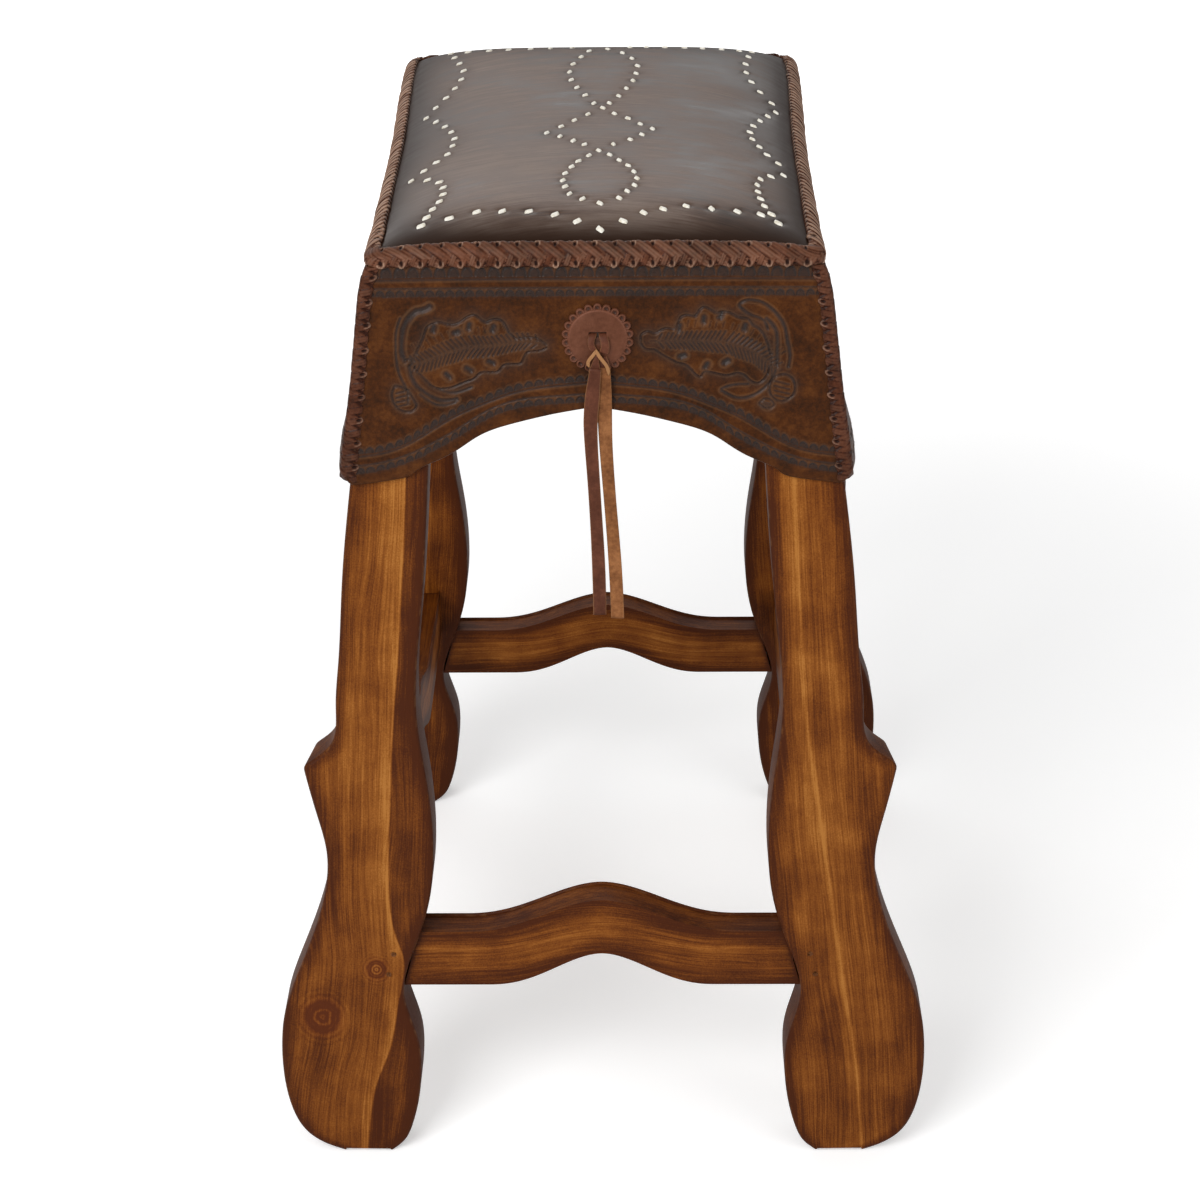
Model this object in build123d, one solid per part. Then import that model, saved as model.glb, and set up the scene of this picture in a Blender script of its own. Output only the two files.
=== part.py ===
from build123d import *
import math
import os

os.makedirs("parts", exist_ok=True)

# Seat: rounded pad of foam and leather on a board, all in millimetres
seat_width = 320
seat_length = 457
seat_top_height = 762
seam_drop = 20
board_drop = 42
leather = 3
top_leather = 2.5
board_thickness = 18
corner_radius = 4.5
pad_corner_ease = 1.5
crown_share = 0.875
crown_drop = 6
shoulder_share = 0.957
shoulder_drop = 11
shoulder_overlap = 2
soft_gap = 0.3
seam_gap = 0.3
joint_clearance = 0.15

# Legs: boards sawn to a curved outline that lean out towards the front and the back
leg_thickness = 38
foot_depth = 565
foot_width = 509
kick_tip_radius = 4
skirt_fit_gap = 0.5

# Skirts: four leather panels that hang over the legs and lean out with them
skirt_drop = 168
skirt_arch_share = 0.65
skirt_spread = 20

# Stretchers
stretcher_height = 43
stretcher_thickness = 26
stretcher_set_back = 8
stretcher_hump = 28
hump_foot_low = 88
hump_foot_high = 106
front_stretcher_height = 152
side_stretcher_height = 198
side_stretcher_inset = 155.5
tenon_length = 24
tenon_thickness = 12
tenon_shoulder = 8
side_tenon_length = 16

# Seat rails, hidden by the skirts
rail_height = 48
rail_thickness = 22
rail_set_back = 3
rail_tenon_share = 0.4

# Nails and screws
nail_diameter = 2.4
nail_head_diameter = 4.4
nail_head_height = 1
nail_length = 30
nail_inset_from_edge = 9
nail_spacing = 18
nail_skew = 0.25
screw_diameter = 4
screw_head_diameter = 8
screw_head_height = 3
screw_length = 42
fastener_clearance = 0.1

# Laced edges
edge_lace_drop = 7
edge_lace_cover = 6
edge_lace_thickness = 3.5
lace_gap = 0.2
corner_lace_width = 9
corner_lace_thickness = 2.5
corner_lace_end = 3

# White stitches on the top
stitch_length = 6.5
stitch_width = 4.2
stitch_thickness = 0.8

# Rosettes and ties, front and back
rosette_drop_share = 0.513
rosette_offset = -2
rosette_base_diameter = 51
rosette_base_thickness = 2.5
rosette_disc_diameter = 40
rosette_disc_thickness = 3
rosette_scallops = 22
slot_width = 11
slot_clearance = 0.15
slot_rise = 3
tie_thickness = 1.6
tie_width = 10
tie_gap = 0.3
bight_drop = 9
bight_stop_thickness = 2.4
knot_drop = 24
knot_waist_drop = 10
knot_width = 15
knot_rest_gap = 0.4
left_tail_length = 196
right_tail_length = 200

reach = seat_top_height
seam_height = seat_top_height - seam_drop
board_top = seat_top_height - board_drop
leg_height = board_top - board_thickness
skirt_corner_height = seam_height - skirt_drop
skirt_arch_height = seam_height - skirt_arch_share * skirt_drop
rosette_height = seam_height - rosette_drop_share * (seam_height - skirt_arch_height)
half_seat_width = seat_width / 2
half_seat_length = seat_length / 2
half_foot_width = foot_width / 2
lean = (foot_depth / 2 - half_seat_length + leather + skirt_fit_gap) / seam_height
spread = skirt_spread / skirt_drop


def leg_face(z):
    """Distance of a leg's outward face from the middle, at a height."""
    return foot_depth / 2 - lean * z


def skirt_front(z, inset=0):
    """Distance of a front or back skirt's outer face from the middle, less an inset."""
    return half_seat_length - inset + lean * (seam_height - z)


def skirt_side(z, inset=0):
    """Distance of a side skirt's outer face from the middle, less an inset."""
    return half_seat_width - inset + spread * (seam_height - z)


def prism_xz(*edges):
    """Solid with an outline drawn seen from the front, as deep as the whole stool."""
    return extrude(Plane.XZ * make_face(list(edges)), amount=reach, both=True)


def prism_yz(*edges):
    """Solid with an outline drawn seen from the side, as wide as the whole stool."""
    return extrude(Plane.YZ * make_face(list(edges)), amount=reach, both=True)


def outline(points):
    """Closed outline of straight edges."""
    return Polyline(*points, close=True)


def leaning_slab(first_inset, second_inset, low, high):
    """Slab parallel to the front legs' outward face, between two depths behind it."""
    return prism_yz(outline([
        (first_inset - leg_face(low), low),
        (first_inset - leg_face(high), high),
        (second_inset - leg_face(high), high),
        (second_inset - leg_face(low), low),
    ]))


def upright_slab(near, far, low, high):
    """Upright slab on the right side, between two distances from the middle."""
    return prism_xz(outline([(near, low), (near, high), (far, high), (far, low)]))


def save(name, *solids):
    """Write one named piece, or one group of alike pieces."""
    shape = solids[0] if len(solids) == 1 else Compound(children=list(solids))
    export_step(shape, f"parts/{name}.step")


def four_ways(shape):
    """The shape and its three mirror images: front right, front left, rear right, rear left."""
    left = mirror(shape, about=Plane.YZ)
    return [shape, left, mirror(shape, about=Plane.XZ), mirror(left, about=Plane.XZ)]


# Legs. The outline's points are shares of half the foot width and of the leg's height. The brow,
# between the skirt's foot and the kick, has shares of the way across and down from one to the other.
leg_inner_shares = [
    (0.668, 0), (0.609, 0.0285), (0.567, 0.1026), (0.597, 0.181), (0.610, 0.208),
    (0.574, 0.2635), (0.5265, 0.3177), (0.503, 0.399), (0.515, 0.470), (0.538, 0.548),
    (0.5285, 0.6225), (0.509, 0.6866), (0.479, 0.8248), (0.442, 1),
]
leg_heel_shares = [
    (0.880, 0.492), (0.847, 0.437), (0.827, 0.382), (0.857, 0.326), (0.937, 0.242),
    (0.984, 0.185), (1, 0.125), (0.986, 0.068), (0.930, 0.0228), (0.817, 0),
]
leg_brow_shares = [(0.217, 0.349), (0.341, 0.63), (0.415, 0.788), (0.581, 0.911), (1, 1)]


def leg_points(shares):
    """Outline points of a leg, from shares."""
    return [(x * half_foot_width, z * leg_height) for x, z in shares]


def leg_solid():
    """Front right leg, before its joints are cut."""
    inner = Spline(*leg_points(leg_inner_shares))
    top_edge = (skirt_side(leg_height, leather + skirt_fit_gap), leg_height)
    skirt_foot = (skirt_side(skirt_corner_height, leather + skirt_fit_gap), skirt_corner_height)
    straight = Line(top_edge, skirt_foot)
    heel = Spline(*leg_points(leg_heel_shares))
    kick = heel @ 0
    brow_points = [
        (skirt_foot[0] + x * (kick.X - skirt_foot[0]), skirt_foot[1] + z * (kick.Y - skirt_foot[1]))
        for x, z in leg_brow_shares
    ]
    kick_way = Vector(*brow_points[-1]) - Vector(*brow_points[-2])
    brow = Spline(skirt_foot, *brow_points, tangents=[straight % 1, kick_way.normalized()])
    top = Line(inner @ 1, top_edge)
    sole = Line(heel @ 1, inner @ 0)
    face = make_face([inner, top, straight, brow, heel, sole])
    tip = face.vertices().sort_by_distance(brow @ 1)[0]
    blank = extrude(Plane.XZ * fillet(tip, kick_tip_radius), amount=reach, both=True)
    return blank & leaning_slab(0, leg_thickness, 0, leg_height)


def hump(half_span, base, rise, spread_width):
    """Ogee line: flat, over a hump in the middle, and flat again."""
    across = Vector(1, 0)
    left_foot = (-spread_width, base)
    right_foot = (spread_width, base)
    rising = Spline(left_foot, (0, base + rise), right_foot, tangents=[across, across])
    left_end = Line((-half_span, base), left_foot)
    right_end = Line(right_foot, (half_span, base))
    return left_end, rising, right_end


def stretcher_outline(half_span, base):
    """Edges of a stretcher: a board whose upper and lower sides both rise in the middle."""
    low = hump(half_span, base, stretcher_hump, hump_foot_low)
    high = hump(half_span, base + stretcher_height, stretcher_hump, hump_foot_high)
    left = Line(low[0] @ 0, high[0] @ 0)
    right = Line(low[2] @ 1, high[2] @ 1)
    return [*low, right, *high, left]


leg_blank = leg_solid()
legs_blank = four_ways(leg_blank)
leg_waist = max(x for x, z in leg_points(leg_inner_shares)[1:-1])
leg_back = leg_thickness
tongue_reach = leg_waist + tenon_length

# Front and back stretchers, with a tongue at each end that sits in the leg
stretcher_back = stretcher_set_back + stretcher_thickness
tongue_front = stretcher_set_back + (stretcher_thickness - tenon_thickness) / 2
tongue_back = tongue_front + tenon_thickness


def front_tongue(grow):
    """Right-hand tongue of the front stretcher, or with a growth the mortise for it."""
    low = front_stretcher_height + tenon_shoulder - grow
    high = front_stretcher_height + stretcher_height - tenon_shoulder + grow
    tongue = upright_slab(leg_waist - tenon_length, tongue_reach + grow, low, high)
    return tongue & leaning_slab(tongue_front - grow, tongue_back + grow, 0, leg_height)


front_bar = prism_xz(*stretcher_outline(half_foot_width, front_stretcher_height))
front_bar = front_bar & leaning_slab(stretcher_set_back, stretcher_back, 0, leg_height)
front_bar = front_bar - legs_blank[0] - legs_blank[1]
front_bar = front_bar.solids().sort_by(SortBy.VOLUME)[-1]
front_stretcher = front_bar + front_tongue(0) + mirror(front_tongue(0), about=Plane.YZ)

# Side stretchers, set one board's height above the front and back ones
side_tongue_near = side_stretcher_inset + (stretcher_thickness - tenon_thickness) / 2
side_tongue_far = side_tongue_near + tenon_thickness


def side_tongue(grow):
    """Front tongue of the right stretcher, or with a growth the mortise for it."""
    low = side_stretcher_height + tenon_shoulder - grow
    high = side_stretcher_height + stretcher_height - tenon_shoulder + grow
    tongue = leaning_slab(leg_back - side_tenon_length - grow, leg_back + tenon_length, low, high)
    return tongue & upright_slab(side_tongue_near - grow, side_tongue_far + grow, low, high)


side_outline = stretcher_outline(foot_depth / 2, side_stretcher_height)
side_far = side_stretcher_inset + stretcher_thickness
side_bar = prism_yz(*side_outline)
side_bar = side_bar & upright_slab(side_stretcher_inset, side_far, 0, leg_height)
side_bar = side_bar - legs_blank[0] - legs_blank[2]
side_bar = side_bar.solids().sort_by(SortBy.VOLUME)[-1]
right_stretcher = side_bar + side_tongue(0) + mirror(side_tongue(0), about=Plane.XZ)

# Seat rails under the board, hidden by the skirts
rail_low = leg_height - rail_height
rail_back = rail_set_back + rail_thickness
rail_tongue_front = rail_set_back + (rail_thickness - tenon_thickness) / 2
rail_tongue_back = rail_tongue_front + tenon_thickness
side_face = leather + skirt_fit_gap
leg_top_inner = leg_inner_shares[-1][0] * half_foot_width
leg_top_outer = skirt_side(leg_height, side_face)
rail_tenon_length = rail_tenon_share * (leg_top_outer - leg_top_inner)


def side_slab(near_inset, far_inset, low, high):
    """Slab parallel to the right skirt, between two depths behind the leg's outer edge."""
    return prism_xz(outline([
        (skirt_side(low, side_face + near_inset), low),
        (skirt_side(high, side_face + near_inset), high),
        (skirt_side(high, side_face + far_inset), high),
        (skirt_side(low, side_face + far_inset), low),
    ]))


def front_rail_tongue(grow):
    """Right-hand tongue of the front rail, or with a growth the mortise for it."""
    low = rail_low + tenon_shoulder - grow
    high = leg_height - tenon_shoulder + grow
    end = leg_top_inner + rail_tenon_length + grow
    tongue = upright_slab(leg_top_inner - rail_tenon_length, end, low, high)
    return tongue & leaning_slab(rail_tongue_front - grow, rail_tongue_back + grow, 0, leg_height)


def side_rail_tongue(grow):
    """Front tongue of the right rail, or with a growth the mortise for it."""
    low = rail_low + tenon_shoulder - grow
    high = leg_height - tenon_shoulder + grow
    tongue = leaning_slab(leg_back - side_tenon_length - grow, leg_back + rail_tenon_length, low, high)
    return tongue & side_slab(rail_tongue_front - grow, rail_tongue_back + grow, 0, leg_height)


front_rail = upright_slab(-leg_waist, leg_waist, rail_low, leg_height)
front_rail = front_rail & leaning_slab(rail_set_back, rail_back, 0, leg_height)
front_rail = front_rail - legs_blank[0] - legs_blank[1]
front_rail = front_rail.solids().sort_by(SortBy.VOLUME)[-1]
front_rail = front_rail + front_rail_tongue(0) + mirror(front_rail_tongue(0), about=Plane.YZ)

right_rail = side_slab(rail_set_back, rail_back, rail_low, leg_height)
right_rail = right_rail & Box(foot_depth, seat_length, 2 * seat_top_height)
right_rail = right_rail - legs_blank[0] - legs_blank[2]
right_rail = right_rail.solids().sort_by(SortBy.VOLUME)[-1]
right_rail = right_rail + side_rail_tongue(0) + mirror(side_rail_tongue(0), about=Plane.XZ)


# Nails through the legs' outward faces into the front and back stretchers' tongues
def pin(diameter, length, head_diameter, head_height, grow):
    """Nail or screw shank pointing down from its head's top, which lies at the origin."""
    shank = Cylinder(diameter / 2 + grow, length + grow, align=(Align.CENTER, Align.CENTER, Align.MAX))
    head = Cylinder(head_diameter / 2 + grow, head_height, align=(Align.CENTER, Align.CENTER, Align.MAX))
    return shank + head


def nails(grow):
    """The two nails of the front right joint, or with a growth their holes."""
    made = []
    middle = front_stretcher_height + stretcher_height / 2
    for side in (-1, 1):
        height = middle + side * nail_spacing / 2
        across = leg_waist + nail_inset_from_edge * (1 - side * nail_skew)
        place = Plane(origin=(across, -leg_face(height), height), z_dir=(0, -1, lean))
        made.append(place * pin(nail_diameter, nail_length, nail_head_diameter, nail_head_height, grow))
    return made


# Seat board, screwed to the legs' tops and the rails
board_half_width = skirt_side(board_top, side_face)
board_half_length = skirt_front(board_top, side_face)
leg_top_middle = (leg_top_inner + leg_top_outer) / 2
screw_depth = leg_face(leg_height) - leg_thickness / 2
rail_screw_depth = leg_face(leg_height) - rail_set_back - rail_thickness / 2
rail_screw_across = skirt_side(leg_height, side_face + rail_set_back + rail_thickness / 2)
screw_places = [
    (leg_top_middle, -screw_depth), (-leg_top_middle, -screw_depth),
    (leg_top_middle, screw_depth), (-leg_top_middle, screw_depth),
    (0, -rail_screw_depth), (0, rail_screw_depth),
    (rail_screw_across, 0), (-rail_screw_across, 0),
]


def screws(grow):
    """All the board's screws, or with a growth their holes."""
    made = []
    for x, y in screw_places:
        place = Plane(origin=(x, y, board_top))
        made.append(place * pin(screw_diameter, screw_length, screw_head_diameter, screw_head_height, grow))
    return made


screw_holes = screws(fastener_clearance)
board_plan = RectangleRounded(2 * board_half_width, 2 * board_half_length, corner_radius - side_face)
seat_board = extrude(Pos(0, 0, leg_height) * board_plan, amount=board_thickness)
for hole in screw_holes:
    seat_board = seat_board - hole


def less_holes(shape, holes):
    """The shape with each hole that reaches it cut out."""
    for hole in holes:
        shape = shape - hole
    return shape


leg = leg_blank - front_tongue(joint_clearance) - side_tongue(joint_clearance)
leg = leg - front_rail_tongue(joint_clearance) - side_rail_tongue(joint_clearance)
leg = less_holes(leg, nails(fastener_clearance) + [screw_holes[0]])
nail_holes = nails(fastener_clearance)
nail_holes = nail_holes + [mirror(hole, about=Plane.YZ) for hole in nail_holes]
front_stretcher = less_holes(front_stretcher, nail_holes)
front_rail = less_holes(front_rail, [screw_holes[4]])
right_rail = less_holes(right_rail, [screw_holes[6]])

leg_names = ["front_right_leg", "front_left_leg", "rear_right_leg", "rear_left_leg"]
for name, shape in zip(leg_names, four_ways(leg)):
    save(name, shape)
save("front_stretcher", front_stretcher)
save("rear_stretcher", mirror(front_stretcher, about=Plane.XZ))
save("right_stretcher", right_stretcher)
save("left_stretcher", mirror(right_stretcher, about=Plane.YZ))
save("front_rail", front_rail)
save("rear_rail", mirror(front_rail, about=Plane.XZ))
save("right_rail", right_rail)
save("left_rail", mirror(right_rail, about=Plane.YZ))
save("seat_board", seat_board)
save("seat_board_screws", *screws(0))
save("stretcher_nails", *[copy for nail in nails(0) for copy in four_ways(nail)])


# Upholstered pad. Its top is crowned, and rolls down to upright sides over a shoulder.
def pad_outline(half, top_inset):
    """Edges of the pad's outline from one side, down to the floor."""
    top = seat_top_height - top_inset
    shoulder_top = (half * crown_share, top - crown_drop)
    shoulder_middle = (half * shoulder_share, top - shoulder_drop)
    side_top = (half, seam_height - shoulder_overlap - top_inset)
    right = ThreePointArc(shoulder_top, shoulder_middle, side_top)
    left = mirror(right, about=Plane.YZ)
    crown = ThreePointArc(left @ 0, (0, top), right @ 0)
    below = Polyline(right @ 1, (half, 0), (-half, 0), left @ 1)
    return [left, crown, right, below]


def pad_block(side_inset, top_inset, low):
    """The pad's whole block from a height up, less an inset at its sides and its top."""
    half_width = half_seat_width - side_inset
    half_length = half_seat_length - side_inset
    block = prism_xz(*pad_outline(half_width, top_inset))
    block = block & prism_yz(*pad_outline(half_length, top_inset))
    ease = pad_corner_ease
    radius = corner_radius + ease - side_inset
    plan = RectangleRounded(2 * (half_width + ease), 2 * (half_length + ease), radius)
    return block & extrude(Pos(0, 0, low) * plan, amount=reach)


seat_foam = pad_block(leather + soft_gap, top_leather + soft_gap, board_top)
seat_cover = pad_block(0, 0, seam_height) - pad_block(top_leather, top_leather, leg_height)


# Skirts: a leather shell that widens downwards, parted into four panels at its corners
def skirt_block(inset, low, high):
    """Block inside the skirts' outer faces, less an inset, between two heights."""
    ends = []
    for z in (low, high):
        plan = RectangleRounded(2 * skirt_side(z, inset), 2 * skirt_front(z, inset), corner_radius - inset)
        ends.append(Pos(0, 0, z) * plan)
    return loft(ends, ruled=True)


skirt_arch_shares = [
    (1, 0), (0.722, 0.186), (0.606, 0.373), (0.522, 0.534), (0.406, 0.72), (0.278, 0.83),
    (0.158, 0.915), (0, 1),
]


def arch_outline(half_span, far):
    """Edges of a skirt seen square on: its lower edge rises in an arch between the corners."""
    rise = skirt_arch_height - skirt_corner_height
    right = [(x * half_span, skirt_corner_height + z * rise) for x, z in reversed(skirt_arch_shares)]
    left = [(-x, z) for x, z in reversed(right[1:])]
    arch = Spline(*left, *right)
    around = Polyline(arch @ 1, (far, skirt_corner_height), (far, seat_top_height),
                      (-far, seat_top_height), (-far, skirt_corner_height), arch @ 0)
    return [arch, around]


def in_front_of(inset):
    """Everything in front of a plane parallel to the front skirt, at an inset behind its face."""
    return prism_yz(outline([
        (-reach, 0), (-reach, seat_top_height),
        (-skirt_front(seat_top_height, inset), seat_top_height), (-skirt_front(0, inset), 0),
    ]))


def right_of(inset):
    """Everything to the right of a plane parallel to the right skirt, at an inset behind its face."""
    return prism_xz(outline([
        (reach, 0), (reach, seat_top_height),
        (skirt_side(seat_top_height, inset), seat_top_height), (skirt_side(0, inset), 0),
    ]))


skirt_shell = skirt_block(0, skirt_corner_height, seam_height - seam_gap)
skirt_shell = skirt_shell - skirt_block(leather, 0, seat_top_height)
front_arch = prism_xz(*arch_outline(skirt_side(skirt_corner_height), half_foot_width))
side_arch = prism_yz(*arch_outline(skirt_front(skirt_corner_height), foot_depth / 2))
front_skirt = skirt_shell & in_front_of(leather) & front_arch
right_skirt = (skirt_shell & right_of(leather) & side_arch) - in_front_of(leather + seam_gap)
right_skirt = right_skirt - mirror(in_front_of(leather + seam_gap), about=Plane.XZ)

# Laced edges: one ring over the seam, and one strip down each corner of the skirts
edge_lace_grow = lace_gap + edge_lace_thickness
edge_lace_low = seam_height - edge_lace_drop
edge_lacing = pad_block(-edge_lace_grow, -edge_lace_grow, edge_lace_low)
edge_lacing = edge_lacing - pad_block(-lace_gap, -lace_gap, leg_height)
edge_lacing = edge_lacing - skirt_block(-lace_gap, 0, seam_height + seam_gap)
top_plan = Rectangle(seat_width - 2 * edge_lace_cover, seat_length - 2 * edge_lace_cover)
edge_lacing = edge_lacing - extrude(top_plan, amount=2 * reach)

corner_lacing = skirt_block(-lace_gap - corner_lace_thickness, skirt_corner_height + corner_lace_end,
                            edge_lace_low - seam_gap)
corner_lacing = corner_lacing - skirt_block(-lace_gap, 0, seat_top_height)
corner_lacing = corner_lacing & in_front_of(corner_lace_width) & right_of(corner_lace_width)

# White stitches: lines across the top, each through three points given as shares of half the
# seat's width and length, with the number of steps along it
wave_counts = (8, 9, 7)
left_wave_shares = [
    (-0.79, -0.83), (-0.719, -0.6), (-0.869, -0.425), (-0.7, -0.12), (-0.85, 0.206),
    (-0.712, 0.65), (-0.78, 0.86),
]
right_wave_shares = [
    (0.79, -0.83), (0.712, -0.57), (0.869, -0.36), (0.716, -0.05), (0.862, 0.271),
    (0.735, 0.66), (0.78, 0.86),
]
line_shares = [
    ((-0.79, -0.83), (-0.41, -0.75), (0, -0.87)), ((0.79, -0.83), (0.41, -0.735), (0, -0.87)),
    ((-0.78, 0.86), (-0.45, 0.78), (0, 0.87)), ((0.78, 0.86), (0.45, 0.78), (0, 0.87)),
    ((0, -0.232), (-0.178, -0.5), (0, -0.713)), ((0, -0.713), (0.162, -0.49), (0, -0.232)),
    ((0, 0.206), (-0.13, 0.075), (-0.256, -0.048)), ((-0.256, -0.048), (-0.138, -0.127), (0, -0.232)),
    ((0, 0.206), (0.125, 0.096), (0.238, -0.013)), ((0.238, -0.013), (0.131, -0.127), (0, -0.232)),
    ((0, 0.206), (-0.165, 0.63), (0, 0.84)), ((0, 0.84), (0.181, 0.6), (0, 0.206)),
]
line_counts = (7, 7, 7, 7, 10, 10, 4, 4, 4, 4, 9, 9)
stitch_lines = list(zip(line_shares, line_counts))
for wave in (left_wave_shares, right_wave_shares):
    for lobe, count in enumerate(wave_counts):
        stitch_lines.append((wave[2 * lobe:2 * lobe + 3], count))


def pad_top(x, y):
    """Height of the leather's top at a place."""
    share = max(abs(x) / half_seat_width, abs(y) / half_seat_length)
    return seat_top_height - crown_drop * (share / crown_share) ** 2


def stitch_frame(x, y):
    """Plane on the leather at a place, square to its surface."""
    step = stitch_width / 2
    across = Vector(2 * step, 0, pad_top(x + step, y) - pad_top(x - step, y))
    along = Vector(0, 2 * step, pad_top(x, y + step) - pad_top(x, y - step))
    normal = across.cross(along).normalized()
    origin = Vector(x, y, pad_top(x, y)) + normal * soft_gap
    return Plane(origin=origin, x_dir=across, z_dir=normal)


stitch_places = []
for shares, count in stitch_lines:
    line = Spline(*[(x * half_seat_width, y * half_seat_length) for x, y in shares])
    for i in range(count + 1):
        place = line @ (i / count)
        if all((place - other).length > stitch_width for other in stitch_places):
            stitch_places.append(place)

stitch_plan = Rectangle(stitch_length, stitch_width)
stitch = extrude(stitch_plan, amount=stitch_thickness)
stitches = [stitch_frame(place.X, place.Y) * stitch for place in stitch_places]

# Rosettes: a scalloped base, a disc on it, and a slot through both and the skirt
rosette_y = -skirt_front(rosette_height)
rosette_middle = (rosette_offset, rosette_y, rosette_height)
rosette_plane = Plane(origin=rosette_middle, x_dir=(1, 0, 0), z_dir=(0, -1, lean))
rosette_depth = rosette_base_thickness + rosette_disc_thickness
slot_height = 2 * tie_thickness + 2 * slot_clearance
scallop_radius = math.pi * rosette_base_diameter / 2 / rosette_scallops
rim_radius = rosette_base_diameter / 2 - scallop_radius


def slot_block(width, height, first, second):
    """Block along the slot's middle, between two distances out from the skirt's face."""
    place = rosette_plane * Pos(0, slot_rise, first)
    return place * Box(width, height, second - first, align=(Align.CENTER, Align.CENTER, Align.MIN))


slot = slot_block(slot_width, slot_height, -leather * 2, rosette_depth * 2)
base_plan = Circle(rim_radius) + PolarLocations(rim_radius, rosette_scallops) * Circle(scallop_radius)
rosette_base = rosette_plane * extrude(base_plan, amount=rosette_base_thickness) - slot
disc_plan = Circle(rosette_disc_diameter / 2)
disc = extrude(Pos(0, 0, rosette_base_thickness) * disc_plan, amount=rosette_disc_thickness)
rosette_disc = rosette_plane * disc - slot
front_skirt = front_skirt - slot

# Ties: a strap doubled through the slot, held by a stop behind the skirt. Its two ends hang
# from a knot that swings outwards about the slot.
strands = slot_block(tie_width, 2 * tie_thickness, -leather - bight_stop_thickness, rosette_depth)
stop_first = -leather - tie_gap - bight_stop_thickness
stop = rosette_plane * Pos(0, slot_rise - bight_drop / 2 + tie_thickness, stop_first)
stop = stop * Box(tie_width, bight_drop, bight_stop_thickness, align=(Align.CENTER, Align.CENTER, Align.MIN))
tie_bight = strands + stop

knot_top = rosette_height + slot_rise
knot_low = knot_top - knot_drop
knot_waist = knot_top - knot_waist_drop
knot_inset = -rosette_depth - knot_rest_gap
tail_near = skirt_front(knot_low, knot_inset) + tie_gap
tail_far = tail_near + 2 * tie_thickness + tie_gap
knot_plan = outline([
    (rosette_offset - tie_width / 2, knot_top), (rosette_offset + tie_width / 2, knot_top),
    (rosette_offset + tie_width / 2, knot_waist), (rosette_offset + knot_width / 2, knot_low),
    (rosette_offset - knot_width / 2, knot_low), (rosette_offset - tie_width / 2, knot_waist),
])
tie_knot = prism_xz(knot_plan) & prism_yz(outline([
    (-skirt_front(knot_top, knot_inset), knot_top), (-skirt_front(knot_low, knot_inset), knot_low),
    (-tail_far, knot_low), (-tail_far, knot_top),
]))

# The tails' middle lines: shares of a tail's length below the knot, and of its width across
left_tail_shares = [(0, -0.25), (0.21, -0.65), (0.45, -0.37), (0.83, -0.04), (1, -0.05)]
right_tail_shares = [(0, 0.2), (0.21, 0.4), (0.45, 0.68), (0.83, 1.2), (1, 1.26)]


def tail(shares, length, near):
    """Flat strap hanging from the knot, its inner face at a distance from the middle."""
    sides = []
    for side in (-1, 1):
        points = [(rosette_offset + (x + side / 2) * tie_width, knot_low - z * length) for z, x in shares]
        sides.append(Spline(*points))
    top = Line(sides[0] @ 0, sides[1] @ 0)
    low = Line(sides[0] @ 1, sides[1] @ 1)
    strap = prism_xz(*sides, top, low)
    layer = Pos(0, -near - tie_thickness / 2, 0) * Box(foot_width, tie_thickness, 2 * reach)
    return strap & layer


right_tail = tail(right_tail_shares, right_tail_length, tail_near)
left_tail = tail(left_tail_shares, left_tail_length, tail_near + tie_thickness + tie_gap)

save("seat_foam", seat_foam)
save("seat_cover", seat_cover)
save("front_skirt", front_skirt)
save("rear_skirt", mirror(front_skirt, about=Plane.XZ))
save("right_skirt", right_skirt)
save("left_skirt", mirror(right_skirt, about=Plane.YZ))
save("edge_lacing", edge_lacing)
for name, shape in zip(leg_names, four_ways(corner_lacing)):
    save(name.replace("_leg", "_corner_lacing"), shape)
save("rawhide_stitches", *stitches)
tie_pieces = [
    ("rosette_base", rosette_base), ("rosette_disc", rosette_disc), ("tie_bight", tie_bight),
    ("tie_knot", tie_knot), ("left_tail", left_tail), ("right_tail", right_tail),
]
for name, shape in tie_pieces:
    save("front_" + name, shape)
    save("rear_" + name, mirror(shape, about=Plane.XZ))
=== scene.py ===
import math
from collections import namedtuple

import bmesh
import bpy
import numpy as np
from mathutils import Euler, Matrix, Vector


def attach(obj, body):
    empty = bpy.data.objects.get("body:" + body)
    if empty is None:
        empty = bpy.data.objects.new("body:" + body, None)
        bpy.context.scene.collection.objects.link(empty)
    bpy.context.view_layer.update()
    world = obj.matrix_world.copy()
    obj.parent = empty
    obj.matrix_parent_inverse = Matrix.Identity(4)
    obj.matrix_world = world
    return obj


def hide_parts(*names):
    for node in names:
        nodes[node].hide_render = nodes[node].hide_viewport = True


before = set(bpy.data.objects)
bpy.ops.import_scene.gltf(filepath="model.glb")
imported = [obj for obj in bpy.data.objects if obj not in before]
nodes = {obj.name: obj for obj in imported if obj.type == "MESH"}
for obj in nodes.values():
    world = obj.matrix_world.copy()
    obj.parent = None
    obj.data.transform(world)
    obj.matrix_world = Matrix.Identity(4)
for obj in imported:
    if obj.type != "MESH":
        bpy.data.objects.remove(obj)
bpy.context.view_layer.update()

# Shapes below are worked out in millimetres, in the frame of the solids: x right, y back, z up.
MM = 0.001
ENDS = (("front", -1), ("rear", 1))
HANDS = (("right", 1), ("left", -1))
# The seat's seam and half sizes, the skirts' lower corners, the feet's faces and the seat's corners
SEAM, HALF_WIDTH, HALF_LENGTH = 742.0, 160.0, 228.5
HEM, FOOT_FACE, CORNER_RADIUS = 574.0, 282.5, 11.0
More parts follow.
